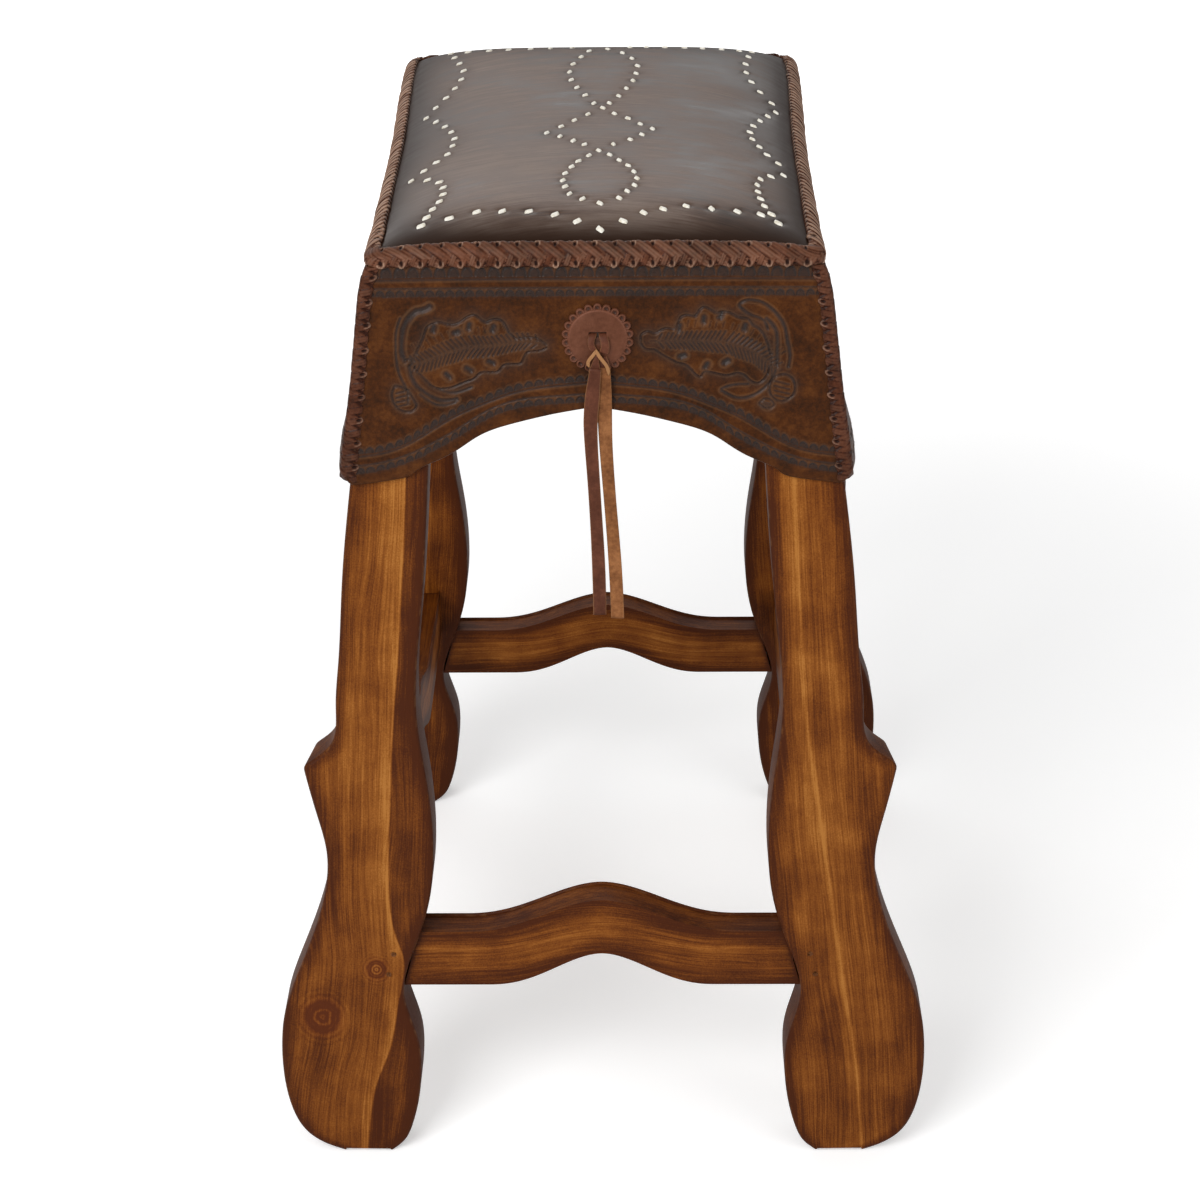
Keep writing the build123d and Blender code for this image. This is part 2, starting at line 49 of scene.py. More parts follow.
# How far a skirt's face stands before the legs, and its thickness. The skirts lean out with the legs at the
# ends, and spread at the sides
SKIRT_STANDS, SKIRT_THICKNESS = 3.5, 3.0
LEAN = (FOOT_FACE - HALF_LENGTH + SKIRT_STANDS) / SEAM
SPREAD = 20.0 / (SEAM - HEM)
rng = np.random.default_rng(7)


def smooth(low, high, x):
    """0 below low, 1 above high, and a smooth step between them."""
    t = np.clip((np.asarray(x, float) - low) / (high - low), 0, 1)
    return t * t * (3 - 2 * t)


def bell(x, width, middle=0.0):
    """Bell curve: 1 at its middle, falling away over its width on both sides."""
    return np.exp(-(((x - middle) / width) ** 2))


def square_grid(columns, rows):
    """Grid of places over a square from -1 to 1 both ways."""
    return np.meshgrid(np.linspace(-1, 1, columns), np.linspace(-1, 1, rows), indexing="ij")


def skirt_front(z):
    """Distance of the front and rear skirts' faces from the middle: it grows evenly downwards."""
    return HALF_LENGTH + LEAN * (SEAM - z)


def skirt_side(z):
    """Distance of a side skirt's face from the middle: it grows evenly downwards."""
    return HALF_WIDTH + SPREAD * (SEAM - z)


def waist(y):
    """How far the padded seat and its edge are drawn in on each side: most before the middle."""
    return 4.6 * smooth(200, -40, y) * (1 - 0.3 * smooth(-170, -228, y))


def drawn_in(y, z):
    """How far the top of the skirts is drawn in with the seat, and their lower part let out."""
    return waist(y) * smooth(726, 741, z) - 1.5 * smooth(734, 710, z)


def leg_face(z):
    """Distance of a leg's outward face from the middle."""
    return FOOT_FACE - LEAN * z


def walk(points):
    """Length walked along points, from 0 at the first."""
    return np.concatenate([[0], np.cumsum(np.linalg.norm(np.diff(points, axis=0), axis=1))])


def curve(points, shares):
    """Smooth curve through points: a natural cubic spline over the chord length, at shares of it."""
    p = np.asarray(points, float)
    t = walk(p)
    h = np.diff(t)
    system = np.eye(len(p))
    right = np.zeros_like(p)
    i = np.arange(1, len(p) - 1)
    system[i, i - 1], system[i, i], system[i, i + 1] = h[i - 1], 2 * (h[i - 1] + h[i]), h[i]
    right[i] = 6 * ((p[i + 1] - p[i]) / h[i, None] - (p[i] - p[i - 1]) / h[i - 1, None])
    bend = np.linalg.solve(system, right)
    s = np.asarray(shares, float) * t[-1]
    k = np.clip(np.searchsorted(t, s) - 1, 0, len(h) - 1)
    a = ((t[k + 1] - s) / h[k])[..., None]
    b = 1 - a
    bent = ((a**3 - a) * bend[k] + (b**3 - b) * bend[k + 1]) * h[k][..., None] ** 2 / 6
    return a * p[k] + b * p[k + 1] + bent


def level_curve(points, column, levels):
    """The other coordinate of a smooth curve where one of its coordinates has given levels."""
    dense = curve(points, np.linspace(0, 1, 3000))
    order = np.argsort(dense[:, column])
    return np.interp(levels, dense[order, column], dense[order, 1 - column])


def unit(v):
    """Vectors of length one."""
    return v / np.maximum(np.linalg.norm(v, axis=-1, keepdims=True), 1e-9)


def grid_quads(rows, columns, wrap_rows=False, wrap_columns=False, start=0):
    """Quads of a grid of points numbered row by row, with its ends joined where it wraps."""
    r = np.arange(rows if wrap_rows else rows - 1)
    c = np.arange(columns if wrap_columns else columns - 1)
    r, c = np.meshgrid(r, c, indexing="ij")
    r2, c2 = (r + 1) % rows, (c + 1) % columns
    quads = np.stack([r * columns + c, r * columns + c2, r2 * columns + c2, r2 * columns + c], -1)
    return quads.reshape(-1, 4) + start


def put(name, data):
    """New object in the scene."""
    made = bpy.data.objects.new(name, data)
    bpy.context.scene.collection.objects.link(made)
    return made


def piece(name, points, faces, material, body="stool", hides=(), sharp=None, values=None):
    """New closed mesh piece from points in millimetres and arrays of triangles or quads.

    Its values are named numbers kept on the points.
    """
    points = np.asarray(points, float).reshape(-1, 3)
    faces = [np.asarray(f, np.int32) for f in (faces if isinstance(faces, list) else [faces])]
    sizes = np.concatenate([np.full(len(f), f.shape[1], np.int32) for f in faces])
    corners = np.concatenate([f.ravel() for f in faces])
    mesh = bpy.data.meshes.new(name)
    mesh.vertices.add(len(points))
    mesh.vertices.foreach_set("co", (points * MM).astype(np.float32).ravel())
    mesh.loops.add(len(corners))
    mesh.loops.foreach_set("vertex_index", corners)
    mesh.polygons.add(len(sizes))
    mesh.polygons.foreach_set("loop_start", np.concatenate([[0], np.cumsum(sizes)[:-1]]).astype(np.int32))
    mesh.polygons.foreach_set("use_smooth", np.ones(len(sizes), bool))
    for key, numbers in (values or {}).items():
        numbers = np.asarray(numbers, np.float32)
        wide = numbers.ndim > 1 and numbers.shape[-1] == 3
        attribute = mesh.attributes.new(key, "FLOAT_VECTOR" if wide else "FLOAT", "POINT")
        attribute.data.foreach_set("vector" if wide else "value", numbers.ravel())
    mesh.update(calc_edges=True)
    mesh.validate()
    shape = bmesh.new()
    shape.from_mesh(mesh)
    bmesh.ops.recalc_face_normals(shape, faces=shape.faces)
    shape.to_mesh(mesh)
    shape.free()
    if sharp is not None:
        mesh.set_sharp_from_angle(angle=math.radians(sharp))
    mesh.materials.append(material)
    made = put(name, mesh)
    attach(made, body)
    if hides:
        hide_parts(*([hides] if isinstance(hides, str) else hides))
    return made


def marks(hollow, ridge, rest):
    """Marks kept on a piece's points, with none on the rest of its points: dark ones, rubbed-in dye and
    painted shade, and pale ones, worn lips and edges and painted highlights.
    """
    none = np.zeros(rest.shape)
    both = (("hollow", hollow), ("ridge", ridge))
    return {key: np.concatenate([grid, none], axis=-1).ravel() for key, grid in both}


def zipped(fine, coarse):
    """Triangles between two borders that start and end together, one with more points than the other."""
    n, m = len(fine) - 1, len(coarse) - 1
    mate = np.round((np.arange(n) + 0.5) * m / n).astype(int)
    first = np.stack([fine[:-1], fine[1:], coarse[mate]], -1)
    turn = np.searchsorted(mate, np.arange(1, m + 1))
    second = np.stack([coarse[:-1], fine[turn], coarse[1:]], -1)
    return np.concatenate([first, second])


def shell(outer, inner):
    """Points and faces of a wall between a fine outer grid and a coarse inner one with the same corners."""
    a = np.arange(outer.shape[0] * outer.shape[1]).reshape(outer.shape[:2])
    b = np.arange(inner.shape[0] * inner.shape[1]).reshape(inner.shape[:2]) + a.size
    edges = ((a[0], b[0]), (a[-1], b[-1]), (a[:, 0], b[:, 0]), (a[:, -1], b[:, -1]))
    sides = np.concatenate([zipped(p, q) for p, q in edges])
    faces = [grid_quads(*a.shape), grid_quads(*b.shape, start=a.size), sides]
    return np.concatenate([outer.reshape(-1, 3), inner.reshape(-1, 3)]), faces


# Materials


class Socket:
    """A node's output whose arithmetic adds Math nodes."""

    def __init__(self, paint, link):
        self.paint, self.link = paint, link

    def _math(self, operation, *values):
        return self.paint.node("ShaderNodeMath", {"operation": operation}, dict(enumerate(values)))

    def __rsub__(self, other):
        return self._math("SUBTRACT", other, self)

    def step(self, low, high):
        """0 at low and 1 at high, smooth between."""
        settings = {"interpolation_type": "SMOOTHSTEP"}
        values = {"Value": self, "From Min": low, "From Max": high}
        return self.paint.node("ShaderNodeMapRange", settings, values)


def math_method(operation):
    """Method of a socket that adds one Math node: of the socket alone, or of it and another value."""
    return lambda self, *other: self._math(operation, self, *other)


SOCKET_METHODS = {
    "__add__": "ADD", "__radd__": "ADD", "__sub__": "SUBTRACT", "__mul__": "MULTIPLY",
    "__rmul__": "MULTIPLY", "__truediv__": "DIVIDE", "sine": "SINE", "exponent": "EXPONENT",
    "least": "MINIMUM", "most": "MAXIMUM",
}
for method, operation in SOCKET_METHODS.items():
    setattr(Socket, method, math_method(operation))


class Paint:
    """A material's node tree, built up by expressions."""

    def __init__(self, name):
        self.material = bpy.data.materials.new(name)
        self.material.use_nodes = True
        self.tree = self.material.node_tree
        self.shader = self.tree.nodes["Principled BSDF"]

    def node(self, kind, settings=None, values=None, output=0):
        """Adds a node, with its settings first and then its sockets' values or links."""
        made = self.tree.nodes.new(kind)
        for key, value in (settings or {}).items():
            if key == "stops":
                ramp = made.color_ramp
                while len(ramp.elements) < len(value):
                    ramp.elements.new(1.0)
                for element, (place, colour) in zip(ramp.elements, value):
                    element.position = place
                    element.color = (*colour, 1.0)
            else:
                setattr(made, key, value)
        for key, value in (values or {}).items():
            self.feed(made.inputs[key], value)
        return Socket(self, made.outputs[output])

    def feed(self, socket, value):
        """Gives a socket a value or a link."""
        if isinstance(value, Socket):
            self.tree.links.new(value.link, socket)
        elif isinstance(value, (tuple, list)) and len(value) == 3 and len(socket.default_value) == 4:
            socket.default_value = (*value, 1.0)
        else:
            socket.default_value = value

    def vectors(self, operation, first, second):
        """Two vectors added, subtracted or multiplied."""
        return self.node("ShaderNodeVectorMath", {"operation": operation}, {0: first, 1: second})

    def length(self, vector):
        """Length of a vector."""
        return self.node("ShaderNodeVectorMath", {"operation": "LENGTH"}, {0: vector}, output="Value")

    def vector(self, x, y, z=0.0):
        """Vector of three numbers."""
        return self.node("ShaderNodeCombineXYZ", None, {0: x, 1: y, 2: z})

    def place(self, scale=(1, 1, 1)):
        """Object coordinates in millimetres, scaled."""
        here = self.node("ShaderNodeTexCoord", output="Object")
        return self.vectors("MULTIPLY", here, [s / MM for s in scale])

    def axis(self, name):
        """One of the object coordinates, in millimetres."""
        return self.node("ShaderNodeSeparateXYZ", None, {0: self.place()}, output=name)

    def value(self, name, output="Fac"):
        """A number or vector kept on the piece's points."""
        return self.node("ShaderNodeAttribute", {"attribute_name": name}, output=output)

    def noise(self, vector, size=1.0, detail=3.0, roughness=0.55):
        """Noise from 0 to 1 with features of a size in the vector's units."""
        values = {"Vector": vector, "Scale": 1.0 / size, "Detail": detail, "Roughness": roughness}
        return self.node("ShaderNodeTexNoise", None, values)

    def ramp(self, value, *stops):
        """Colours along a value."""
        return self.node("ShaderNodeValToRGB", {"stops": stops}, {"Fac": value})

    def mix(self, share, first, second):
        """Two colours mixed by a share."""
        return self.node("ShaderNodeMix", {"data_type": "RGBA"}, {0: share, 6: first, 7: second}, output=2)

    def finish(self, colour, roughness, height=None, depth=0.1, **constants):
        """Feeds the shader: colour, roughness, a height in millimetres as bump, and plain values."""
        self.feed(self.shader.inputs["Base Color"], colour)
        self.feed(self.shader.inputs["Roughness"], roughness)
        if height is not None:
            relief = {"Height": height, "Strength": 1.0, "Distance": depth * MM}
            self.feed(self.shader.inputs["Normal"], self.node("ShaderNodeBump", None, relief))
        for key, value in constants.items():
            self.shader.inputs[key.replace("_", " ")].default_value = value
        return self.material


def pine_paint():
    """Stained knotty pine: streaks along the grain, darker towards the edges, and a few knots."""
    p = Paint("stained_pine")
    grain = p.value("grain", "Vector")
    bend = p.noise(p.vectors("MULTIPLY", grain, (1 / 60, 1 / 260, 1 / 60)), detail=2.0)
    line = p.vectors("ADD", grain, p.vector(bend * 26, 0.0, bend * 8))
    broad = p.noise(p.vectors("MULTIPLY", line, (1 / 15, 1 / 420, 1 / 17)), detail=2.0)
    medium = p.noise(p.vectors("MULTIPLY", line, (1 / 4.2, 1 / 260, 1 / 6)))
    fine = p.noise(p.vectors("MULTIPLY", line, (1 / 1.1, 1 / 60, 1 / 1.4)))
    blotch = p.noise(p.place(), 38.0, 3.0)
    speck = p.noise(p.place(), 1.1, 2.0)
    vein = p.value("vein")
    golden = vein.step(-1.0, 1.0)
    fade = (vein.most(0.0) * -0.1).exponent()
    bright = ((vein * vein) * -0.35).exponent() + ((vein + 3) * (vein + 3) * -0.03).exponent() * 0.4
    streak = p.value("band") * (golden * fade * 0.8 - (1 - golden) * 0.34) + p.value("bright") * bright
    tone = broad * 0.3 + medium * 0.32 + fine * 0.56 + blotch * 0.5 + speck * 0.34
    tone = tone + streak * 0.36 + p.value("shade") - 0.53 - p.axis("Z").step(330.0, 60.0) * 0.055
    edge = 1 - p.value("edge").step(0.0, 15.0)
    # Painted shade where a stretcher's ends meet the legs
    tone = tone - edge * (0.1 + blotch * 0.24) - p.value("joint") * 0.4
    knots = None
    for x, y, z, size in KNOTS:
        offset = p.vectors("SUBTRACT", p.place(), (x, y, z))
        away = p.length(p.vectors("MULTIPLY", offset, (1.0, 0.55, 0.92))) / size
        knots = away if knots is None else knots.least(away)
    wobble = knots + p.noise(p.place(), 6.0, 2.0) * 0.3 - 0.15
    core = 1 - wobble.step(0.72, 0.92)
    rings = ((wobble * 17).sine() * 0.5 + 0.5) * (1 - wobble.step(0.95, 2.3))
    bark = ((wobble - 0.86) * (wobble - 0.86) * -90).exponent()
    around = 1 - wobble.step(0.9, 2.2)
    tone = tone + rings * (core * 0.26 + 0.13) - core * 0.2 - bark * 0.34 - around * 0.08
    colour = p.ramp(
        tone, (0.22, (0.055, 0.012, 0.002)), (0.38, (0.115, 0.03, 0.0035)), (0.5, (0.175, 0.05, 0.006)),
        (0.62, (0.25, 0.082, 0.012)), (0.78, (0.37, 0.145, 0.028)),
    )
    colour = p.mix((1 - wobble.step(0.8, 1.7)) * 0.33, colour, (0.14, 0.03, 0.006))
    # Pale worn spots on the arrises, which also stand in for a painted highlight along them
    wear_and_highlight = (1 - p.value("edge").step(0.2, 1.8)) * p.noise(p.place(), 9.0, 3.0).step(0.48, 0.75)
    colour = p.mix(wear_and_highlight * 0.25, colour, (0.34, 0.17, 0.07))
    rough = 0.52 - fine * 0.14 + blotch * 0.08
    return p.finish(colour, rough, fine * 0.5 + medium * 0.5 + speck * 0.2, 0.3, Specular_IOR_Level=0.1)


def plain_wood_paint(name, light, dark):
    """Plain wood of rails, board and nail fillings: fine streaks along y."""
    p = Paint(name)
    line = p.noise(p.place((1 / 4, 1 / 160, 1 / 4)), 1.0, 4.0)
    return p.finish(p.mix(line.step(0.3, 0.7), dark, light), 0.75, line, 0.2)


def metal_paint(name, colour, rough):
    """Fastener steel, slightly dull and mottled."""
    p = Paint(name)
    cloud = p.noise(p.place(), 1.5, 3.0)
    shade = p.mix(cloud, colour, tuple(c * 0.6 for c in colour))
    return p.finish(shade, cloud * 0.2 + rough, cloud, 0.03, Metallic=1.0)


def seat_leather_paint():
    """Smooth dark leather with a soft sheen, and faint streaks that bend forwards towards the sides."""
    p = Paint("seat_leather")
    x = p.axis("X")
    y = p.axis("Y") + x * x * 0.0026
    streak = p.noise(p.vector(x / 70, y / 9), roughness=0.6)
    fine = p.noise(p.vector(x / 26, y / 2.4), roughness=0.6)
    cloud = p.noise(p.place(), 55.0)
    pore = p.noise(p.place(), 1.0, 2.0)
    crease = p.value("crease")
    # The wells round the stitches are darkened a little as painted shade
    tone = streak * 0.36 + fine * 0.26 + cloud * 0.36 + pore * 0.06 - crease * 0.06 - 0.02
    # Painted light: the leather is lighter towards the front left and darker towards the back and the right
    tone = tone - y * 0.0002 - x * 0.00032
    shades = ((0.38, (0.016, 0.008, 0.005)), (0.5, (0.083, 0.042, 0.024)), (0.62, (0.172, 0.12, 0.092)))
    # The front roll is painted almost black, as painted shade where it turns down away from the light
    colour = p.mix(p.value("roll"), p.ramp(tone, *shades), (0.018, 0.0065, 0.0025))
    rough = 0.37 + (streak - 0.5) * 0.24 + (fine - 0.5) * 0.12 + (cloud - 0.5) * 0.3 + crease * 0.2
    sheen = {"Specular_IOR_Level": 0.21, "Specular_Tint": (1.0, 0.8, 0.69, 1.0)}
    return p.finish(colour, rough, streak * 0.6 + fine * 0.35, 0.045, **sheen)


# Dark colour of marked leather: dye rubbed into the tooling, and painted shade in the rosettes' pits and
# slot
DYE = (0.028, 0.0215, 0.0195)


def leather_paint(
    name, light, middle, dark, rough=0.5, gloss=0.15, marked=True, pale=None, wear_and_highlight=0.5, dye=DYE,
):
    """Coloured leather. Marks kept on its points darken it with rubbed-in dye and painted shade, and pale
    its lips and edges with wear and painted highlights.
    """
    p = Paint(name)
    cloud = p.noise(p.place(), 24.0, 4.0, 0.62)
    fibre = p.noise(p.place(), 3.0, 3.0, 0.6)
    pore = p.noise(p.place(), 0.7, 2.0)
    tone = cloud * 0.6 + fibre * 0.27 + pore * 0.13
    colour = p.ramp(tone, (0.37, dark), (0.5, middle), (0.64, light))
    rough = 0.16 * fibre + rough - 0.08
    if marked:
        hollow = p.value("hollow").least(1.0)
        lip = p.value("ridge").least(1.0)
        # Pale lips and edges: worn leather, and on the lacing, rosettes and tooled lips also a painted
        # highlight
        colour = p.mix(lip * wear_and_highlight, colour, pale or tuple(min(1.0, 1.7 * c + 0.01) for c in light))
        # Dark marks: dye rubbed into the tooling, and painted shade in the lacing's grooves and holes and
        # the rosettes' pits and slot
        colour = p.mix(hollow, colour, dye)
        rough = rough - hollow * 0.1
    height = fibre * 0.4 + pore * 0.35
    return p.finish(colour, rough, height, 0.18, Specular_IOR_Level=gloss)


def rawhide_paint():
    """Cream rawhide with a faint yellowish cloud."""
    p = Paint("rawhide")
    cloud = p.noise(p.place(), 2.4, 3.0)
    colour = p.ramp(cloud, (0.3, (0.72, 0.65, 0.5)), (0.55, (0.9, 0.87, 0.78)))
    return p.finish(colour, 0.5, cloud, 0.08)


# The camera stands where the photograph was taken from, with the photograph's own lens.
camera_data = bpy.data.cameras.new("camera")
camera_data.lens = 81.62
camera_data.sensor_width = 36.0
camera = put("camera", camera_data)
camera.location = (0.0297, -2.01149, 1.41526)
looking_down, turned_left, rolled = (math.radians(angle) for angle in (27.848, 0.919, -0.635))
aim = Euler((math.pi / 2 - looking_down, 0, turned_left)).to_matrix()
camera.rotation_euler = (aim @ Matrix.Rotation(rolled, 3, "Z")).to_euler()
bpy.context.scene.camera = camera

# Legs and stretchers: boards cut to an outline, with rounded arrises
LEG_TOP, LEG_THICKNESS = 702.0, 38.0
# Outline points are (x, z), from the floor up. The brow is the pointed kick below the knee
LEG_INNER = [
    (170, 0), (160, 9), (153, 24), (144.3, 72), (145, 100), (151.9, 127), (155.3, 146), (146.1, 185),
    (134, 223), (128, 280), (131, 330), (136.9, 385), (134.5, 437), (129.5, 482), (121.9, 579),
    (112.5, LEG_TOP),
]
BROW_TIP = (224.8, 345.4)
LEG_HEEL = [
    (208, 0), (222, 5.5), (236.7, 16), (250.9, 47.7), (254.5, 87.8), (249.9, 129.9), (235.9, 169.9),
    (215.2, 228.9), (210.2, 268.2), (217, 306.8), BROW_TIP,
]
LEG_BROW = [BROW_TIP, (201.2, 366.5), (197.6, 393.8), (194, 430), (188.3, 494.2), (178.4, HEM)]
# Knots in the wood: middle and size
KNOTS = [
    (-220.3, -273.0, 126.0, 13.5), (-176.0, -269.0, 169.0, 7.5), (206.0, 272.0, 102.0, 10.0),
    (-160.0, 231.0, 455.0, 8.0), (150.0, -236.0, 300.0, 6.0), (158.0, 30.0, 222.0, 6.0),
]


def board(name, first, last, place, thickness, rounding, grain_of, vein_of, look, hides, joint=0.0):
    """Board between two edge lines, given row by row as (a, b) in its own plane.

    Each row's section is a loop: a face from the first edge to the last, a quarter round of the
    arris's radius, the side, another quarter round, the back face, and the same on the first edge.
    place(a, b, depth) puts it in the frame. Its look is how strongly the golden band and the bright
    line beside its vein show, and its shade. A joint paints shade over its ends, where they meet the legs.
    """
    rows = len(first)
    along_first, along_last = np.gradient(first, axis=0), np.gradient(last, axis=0)
    out_first = unit(np.stack([-along_first[:, 1], along_first[:, 0]], -1))
    out_last = unit(np.stack([along_last[:, 1], -along_last[:, 0]], -1))
    turn = np.linspace(0, math.pi / 2, 5)
    inset, depth = rounding * (1 - np.cos(turn)), rounding * (1 - np.sin(turn))
    across = np.linspace(0, 1, 15)[1:-1]
    edge_a = first[:, None] - out_first[:, None] * inset[None, :, None]
    edge_b = last[:, None] - out_last[:, None] * inset[None, ::-1, None]
    face = edge_a[:, -1:] + (edge_b[:, :1] - edge_a[:, -1:]) * across[None, :, None]
    half = np.concatenate([edge_a, face, edge_b], axis=1)
    depths = np.concatenate([depth, np.zeros(len(across)), depth[::-1]])
    count = half.shape[1]
    loop = np.concatenate([half, half[:, ::-1]], axis=1)
    t = np.concatenate([depths, thickness - depths[::-1]])
    t = np.broadcast_to(t, (rows, 2 * count))
    points = place(loop[..., 0], loop[..., 1], t)
    quads = grid_quads(rows, 2 * count, wrap_columns=True)
    j = np.arange(count - 1)
    cap = np.stack([j, j + 1, 2 * count - 2 - j, 2 * count - 1 - j], -1)
    quads = np.concatenate([quads[:, ::-1], cap, cap[:, ::-1] + (rows - 1) * 2 * count])
    from_first = np.linalg.norm(loop - first[:, None], axis=-1)
    from_last = np.linalg.norm(loop - last[:, None], axis=-1)
    away = np.minimum(from_first, from_last)
    inner_face = np.minimum(t, thickness - t)
    away = np.where(inner_face > rounding * 0.9, np.minimum(inner_face, 9.0) + 4.5 * joint, away)
    grain = grain_of(loop[..., 0], loop[..., 1], t)
    walked = walk(last)
    to_end = np.minimum(walked, walked[-1] - walked)
    values = {
        "grain": grain, "edge": away, "vein": vein_of(loop[..., 0], loop[..., 1]),
        "joint": np.broadcast_to((joint * np.exp(-to_end / 1.6))[:, None], t.shape),
    }
    for key, number in zip(("band", "bright", "shade"), look):
        values[key] = np.full(t.shape, number)
    piece(name, points, quads, pine, hides=hides, sharp=50, values=values)


def leg_edges():
    """Rows of a leg's inner and outer edge at the same heights, closer at the foot and the kick."""
    stretches = ((0, 30, 26), (30, LEG_TOP, 150), (328, 366, 26))
    z = np.unique(np.concatenate([np.linspace(*stretch) for stretch in stretches]))
    inner, heel, brow = (level_curve(line, 1, z) for line in (LEG_INNER, LEG_HEEL, LEG_BROW))
    straight = skirt_side(z) - SKIRT_STANDS + 1.9 * smooth(640, HEM, z)
    outer = np.where(z <= BROW_TIP[1], heel, np.where(z <= HEM, brow, straight))
    blur = np.exp(-0.5 * ((z[:, None] - z[None]) / 2.4) ** 2) * np.gradient(z)[None]
    blunt = (blur * outer[None]).sum(1) / blur.sum(1)
    outer = outer + (blunt - outer) * np.exp(-0.5 * ((z - BROW_TIP[1]) / 7) ** 2)
    return np.stack([inner, z], -1), np.stack([outer, z], -1)


# The vein down each leg, as (x, z), and its look: golden band, bright line, shade
VEINS = {
    "front_left": [
        (189.5, 4), (185.3, 39), (179.4, 66), (169.4, 93), (158.9, 143), (154.4, 179), (159.1, 196),
        (163.2, 222), (163.2, 258), (160.1, 307), (156.5, 360), (153.4, 392), (148.6, 439), (144.7, 486),
        (140.9, 531), (138, 575), (132, LEG_TOP),
    ],
    "front_right": [
        (207.9, 0), (202.7, 63), (195, 117), (186.4, 169), (174.9, 245), (166.3, 307), (156.9, 368),
        (150, 450), (143, 560), (136, LEG_TOP),
    ],
    "rear_left": [(196, 0), (176, 120), (166, 240), (158, 380), (150, 520), (138, LEG_TOP)],
    "rear_right": [(212, 0), (190, 130), (172, 260), (166, 400), (154, 520), (142, LEG_TOP)],
}
# The rear legs' shade of -0.1 is painted shade: they are darkened as if in shadow
LEG_LOOKS = {
    "front_left": (1.0, 0.0, 0.0), "front_right": (0.0, 0.5, 0.0),
    "rear_left": (0.3, 0.3, -0.1), "rear_right": (0.0, 0.4, -0.1),
}


def make_leg(name, side, back):
    """One leg: the shared outline leaning out to the front or back, mirrored to its corner."""
    inner, outer = leg_edges()

    def place(x, z, t):
        """Point of the leg; the tip of its brow is trimmed back away from the outward face."""
        trim = 5.5 * smooth(4, 34, t) * bell(z, 16, 348)
        if back > 0:
            trim = trim + 4.5 * bell(z, 20, 352)
        return np.stack([side * (x - trim * (x > 185)), back * (leg_face(z) - t), z + 0 * t], -1)

    def vein_of(x, z):
        """Distance from the leg's vein, outwards."""
        return x - level_curve(VEINS[name], 1, z.ravel()).reshape(z.shape)

    def grain_of(x, z, t):
        """Place in the wood: across the grain, which bends with the vein, along it and into the board."""
        u = 0.3 * vein_of(x, z) + 0.7 * (x + z / 14)
        return np.stack([u + 100 * (side + 2 * back), z, t + 37 * side], -1)

    board(name + "_leg_board", inner, outer, place, LEG_THICKNESS, 3.2, grain_of, vein_of, LEG_LOOKS[name],
          name + "_leg")


# Height and thickness of a stretcher, the height of its hump, and how far out the hump's foot lies on the
# lower edge, in the grain and on the upper edge
STRETCHER_HEIGHT, STRETCHER_THICKNESS, HUMP_HEIGHT = 43.0, 26.0, 28
FOOT_LOW, FOOT_IN_GRAIN, FOOT_HIGH = 88, 97, 106


def hump(s, foot):
    """Height of a stretcher's hump above its straight part: a raised cosine with a softened foot."""
    r = np.clip(np.abs(s) / foot, 0, 1)
    return HUMP_HEIGHT * (0.5 + 0.5 * np.cos(math.pi * r**0.92)) ** 1.12


def make_stretcher(name, base, rows, end_of, place, seed):
    """One stretcher: its lower and upper edges rise in a hump, and its ends follow the legs."""
    top = base + STRETCHER_HEIGHT
    s = np.linspace(-1, 1, rows)
    s = np.sign(s) * (1 - (1 - np.abs(s)) ** 1.25)
    a_low, a_high = s * end_of(base), s * end_of(top)
    low = np.stack([a_low, base + hump(a_low, FOOT_LOW)], -1)
    high = np.stack([a_high, top + hump(a_high, FOOT_HIGH)], -1)

    def up_the_grain(a, z):
        """Height in the bar, where the grain follows about half of the hump."""
        return z - base - 0.55 * hump(a, FOOT_IN_GRAIN)

    def grain_of(a, z, t):
        """Place in the wood, with the bar's own seed."""
        return np.stack([up_the_grain(a, z) + seed, a + 3 * seed, t + seed], -1)

    board(name + "_bar", low, high, place, STRETCHER_THICKNESS, 2.2, grain_of,
          lambda a, z: up_the_grain(a, z) - 30, (0.0, 0.25, -0.01), name, joint=1.0)


pine = pine_paint()
for end, back in ENDS:
    for hand, side in HANDS:
        make_leg(f"{end}_{hand}", side, back)


def leg_inner_at(z):
    """A leg's inner edge at a height."""
    return float(level_curve(LEG_INNER, 1, [z])[0]) + 0.15


for end, back in ENDS:
    make_stretcher(
        end + "_stretcher", 152.0, 150, leg_inner_at,
        lambda x, z, t, back=back: np.stack([x, back * (leg_face(z) - 8 - t), z], -1), 300.0 + 90 * back,
    )
for hand, side in HANDS:
    make_stretcher(
        hand + "_stretcher", 198.0, 170, lambda z: leg_face(z) - LEG_THICKNESS + 0.1,
        lambda y, z, t, side=side: np.stack([side * (155.5 + t), y, z], -1), 700.0 + 60 * side,
    )

# Padded seat: leather over foam on a board. The crown is its height above the seam
CROWN, BOARD_TOP = 22.5, 720.2


def seat_top(x, y):
    """Height of the seat: flat in the middle, falling to the seam as the root of two steep shares.

    It rolls down slowly at the sides and front, and more tightly at the rear, which is a little fuller.
    """
    across = 1 - np.clip(np.abs(x) / (HALF_WIDTH - waist(y)), 0, 1) ** 4
    along = 1 - np.clip(np.abs(y) / HALF_LENGTH, 0, 1) ** np.where(np.asarray(y) > 0, 14.0, 5.0)
    return SEAM + (CROWN + 3.0 * smooth(0, 190, y)) * np.sqrt(across * along)


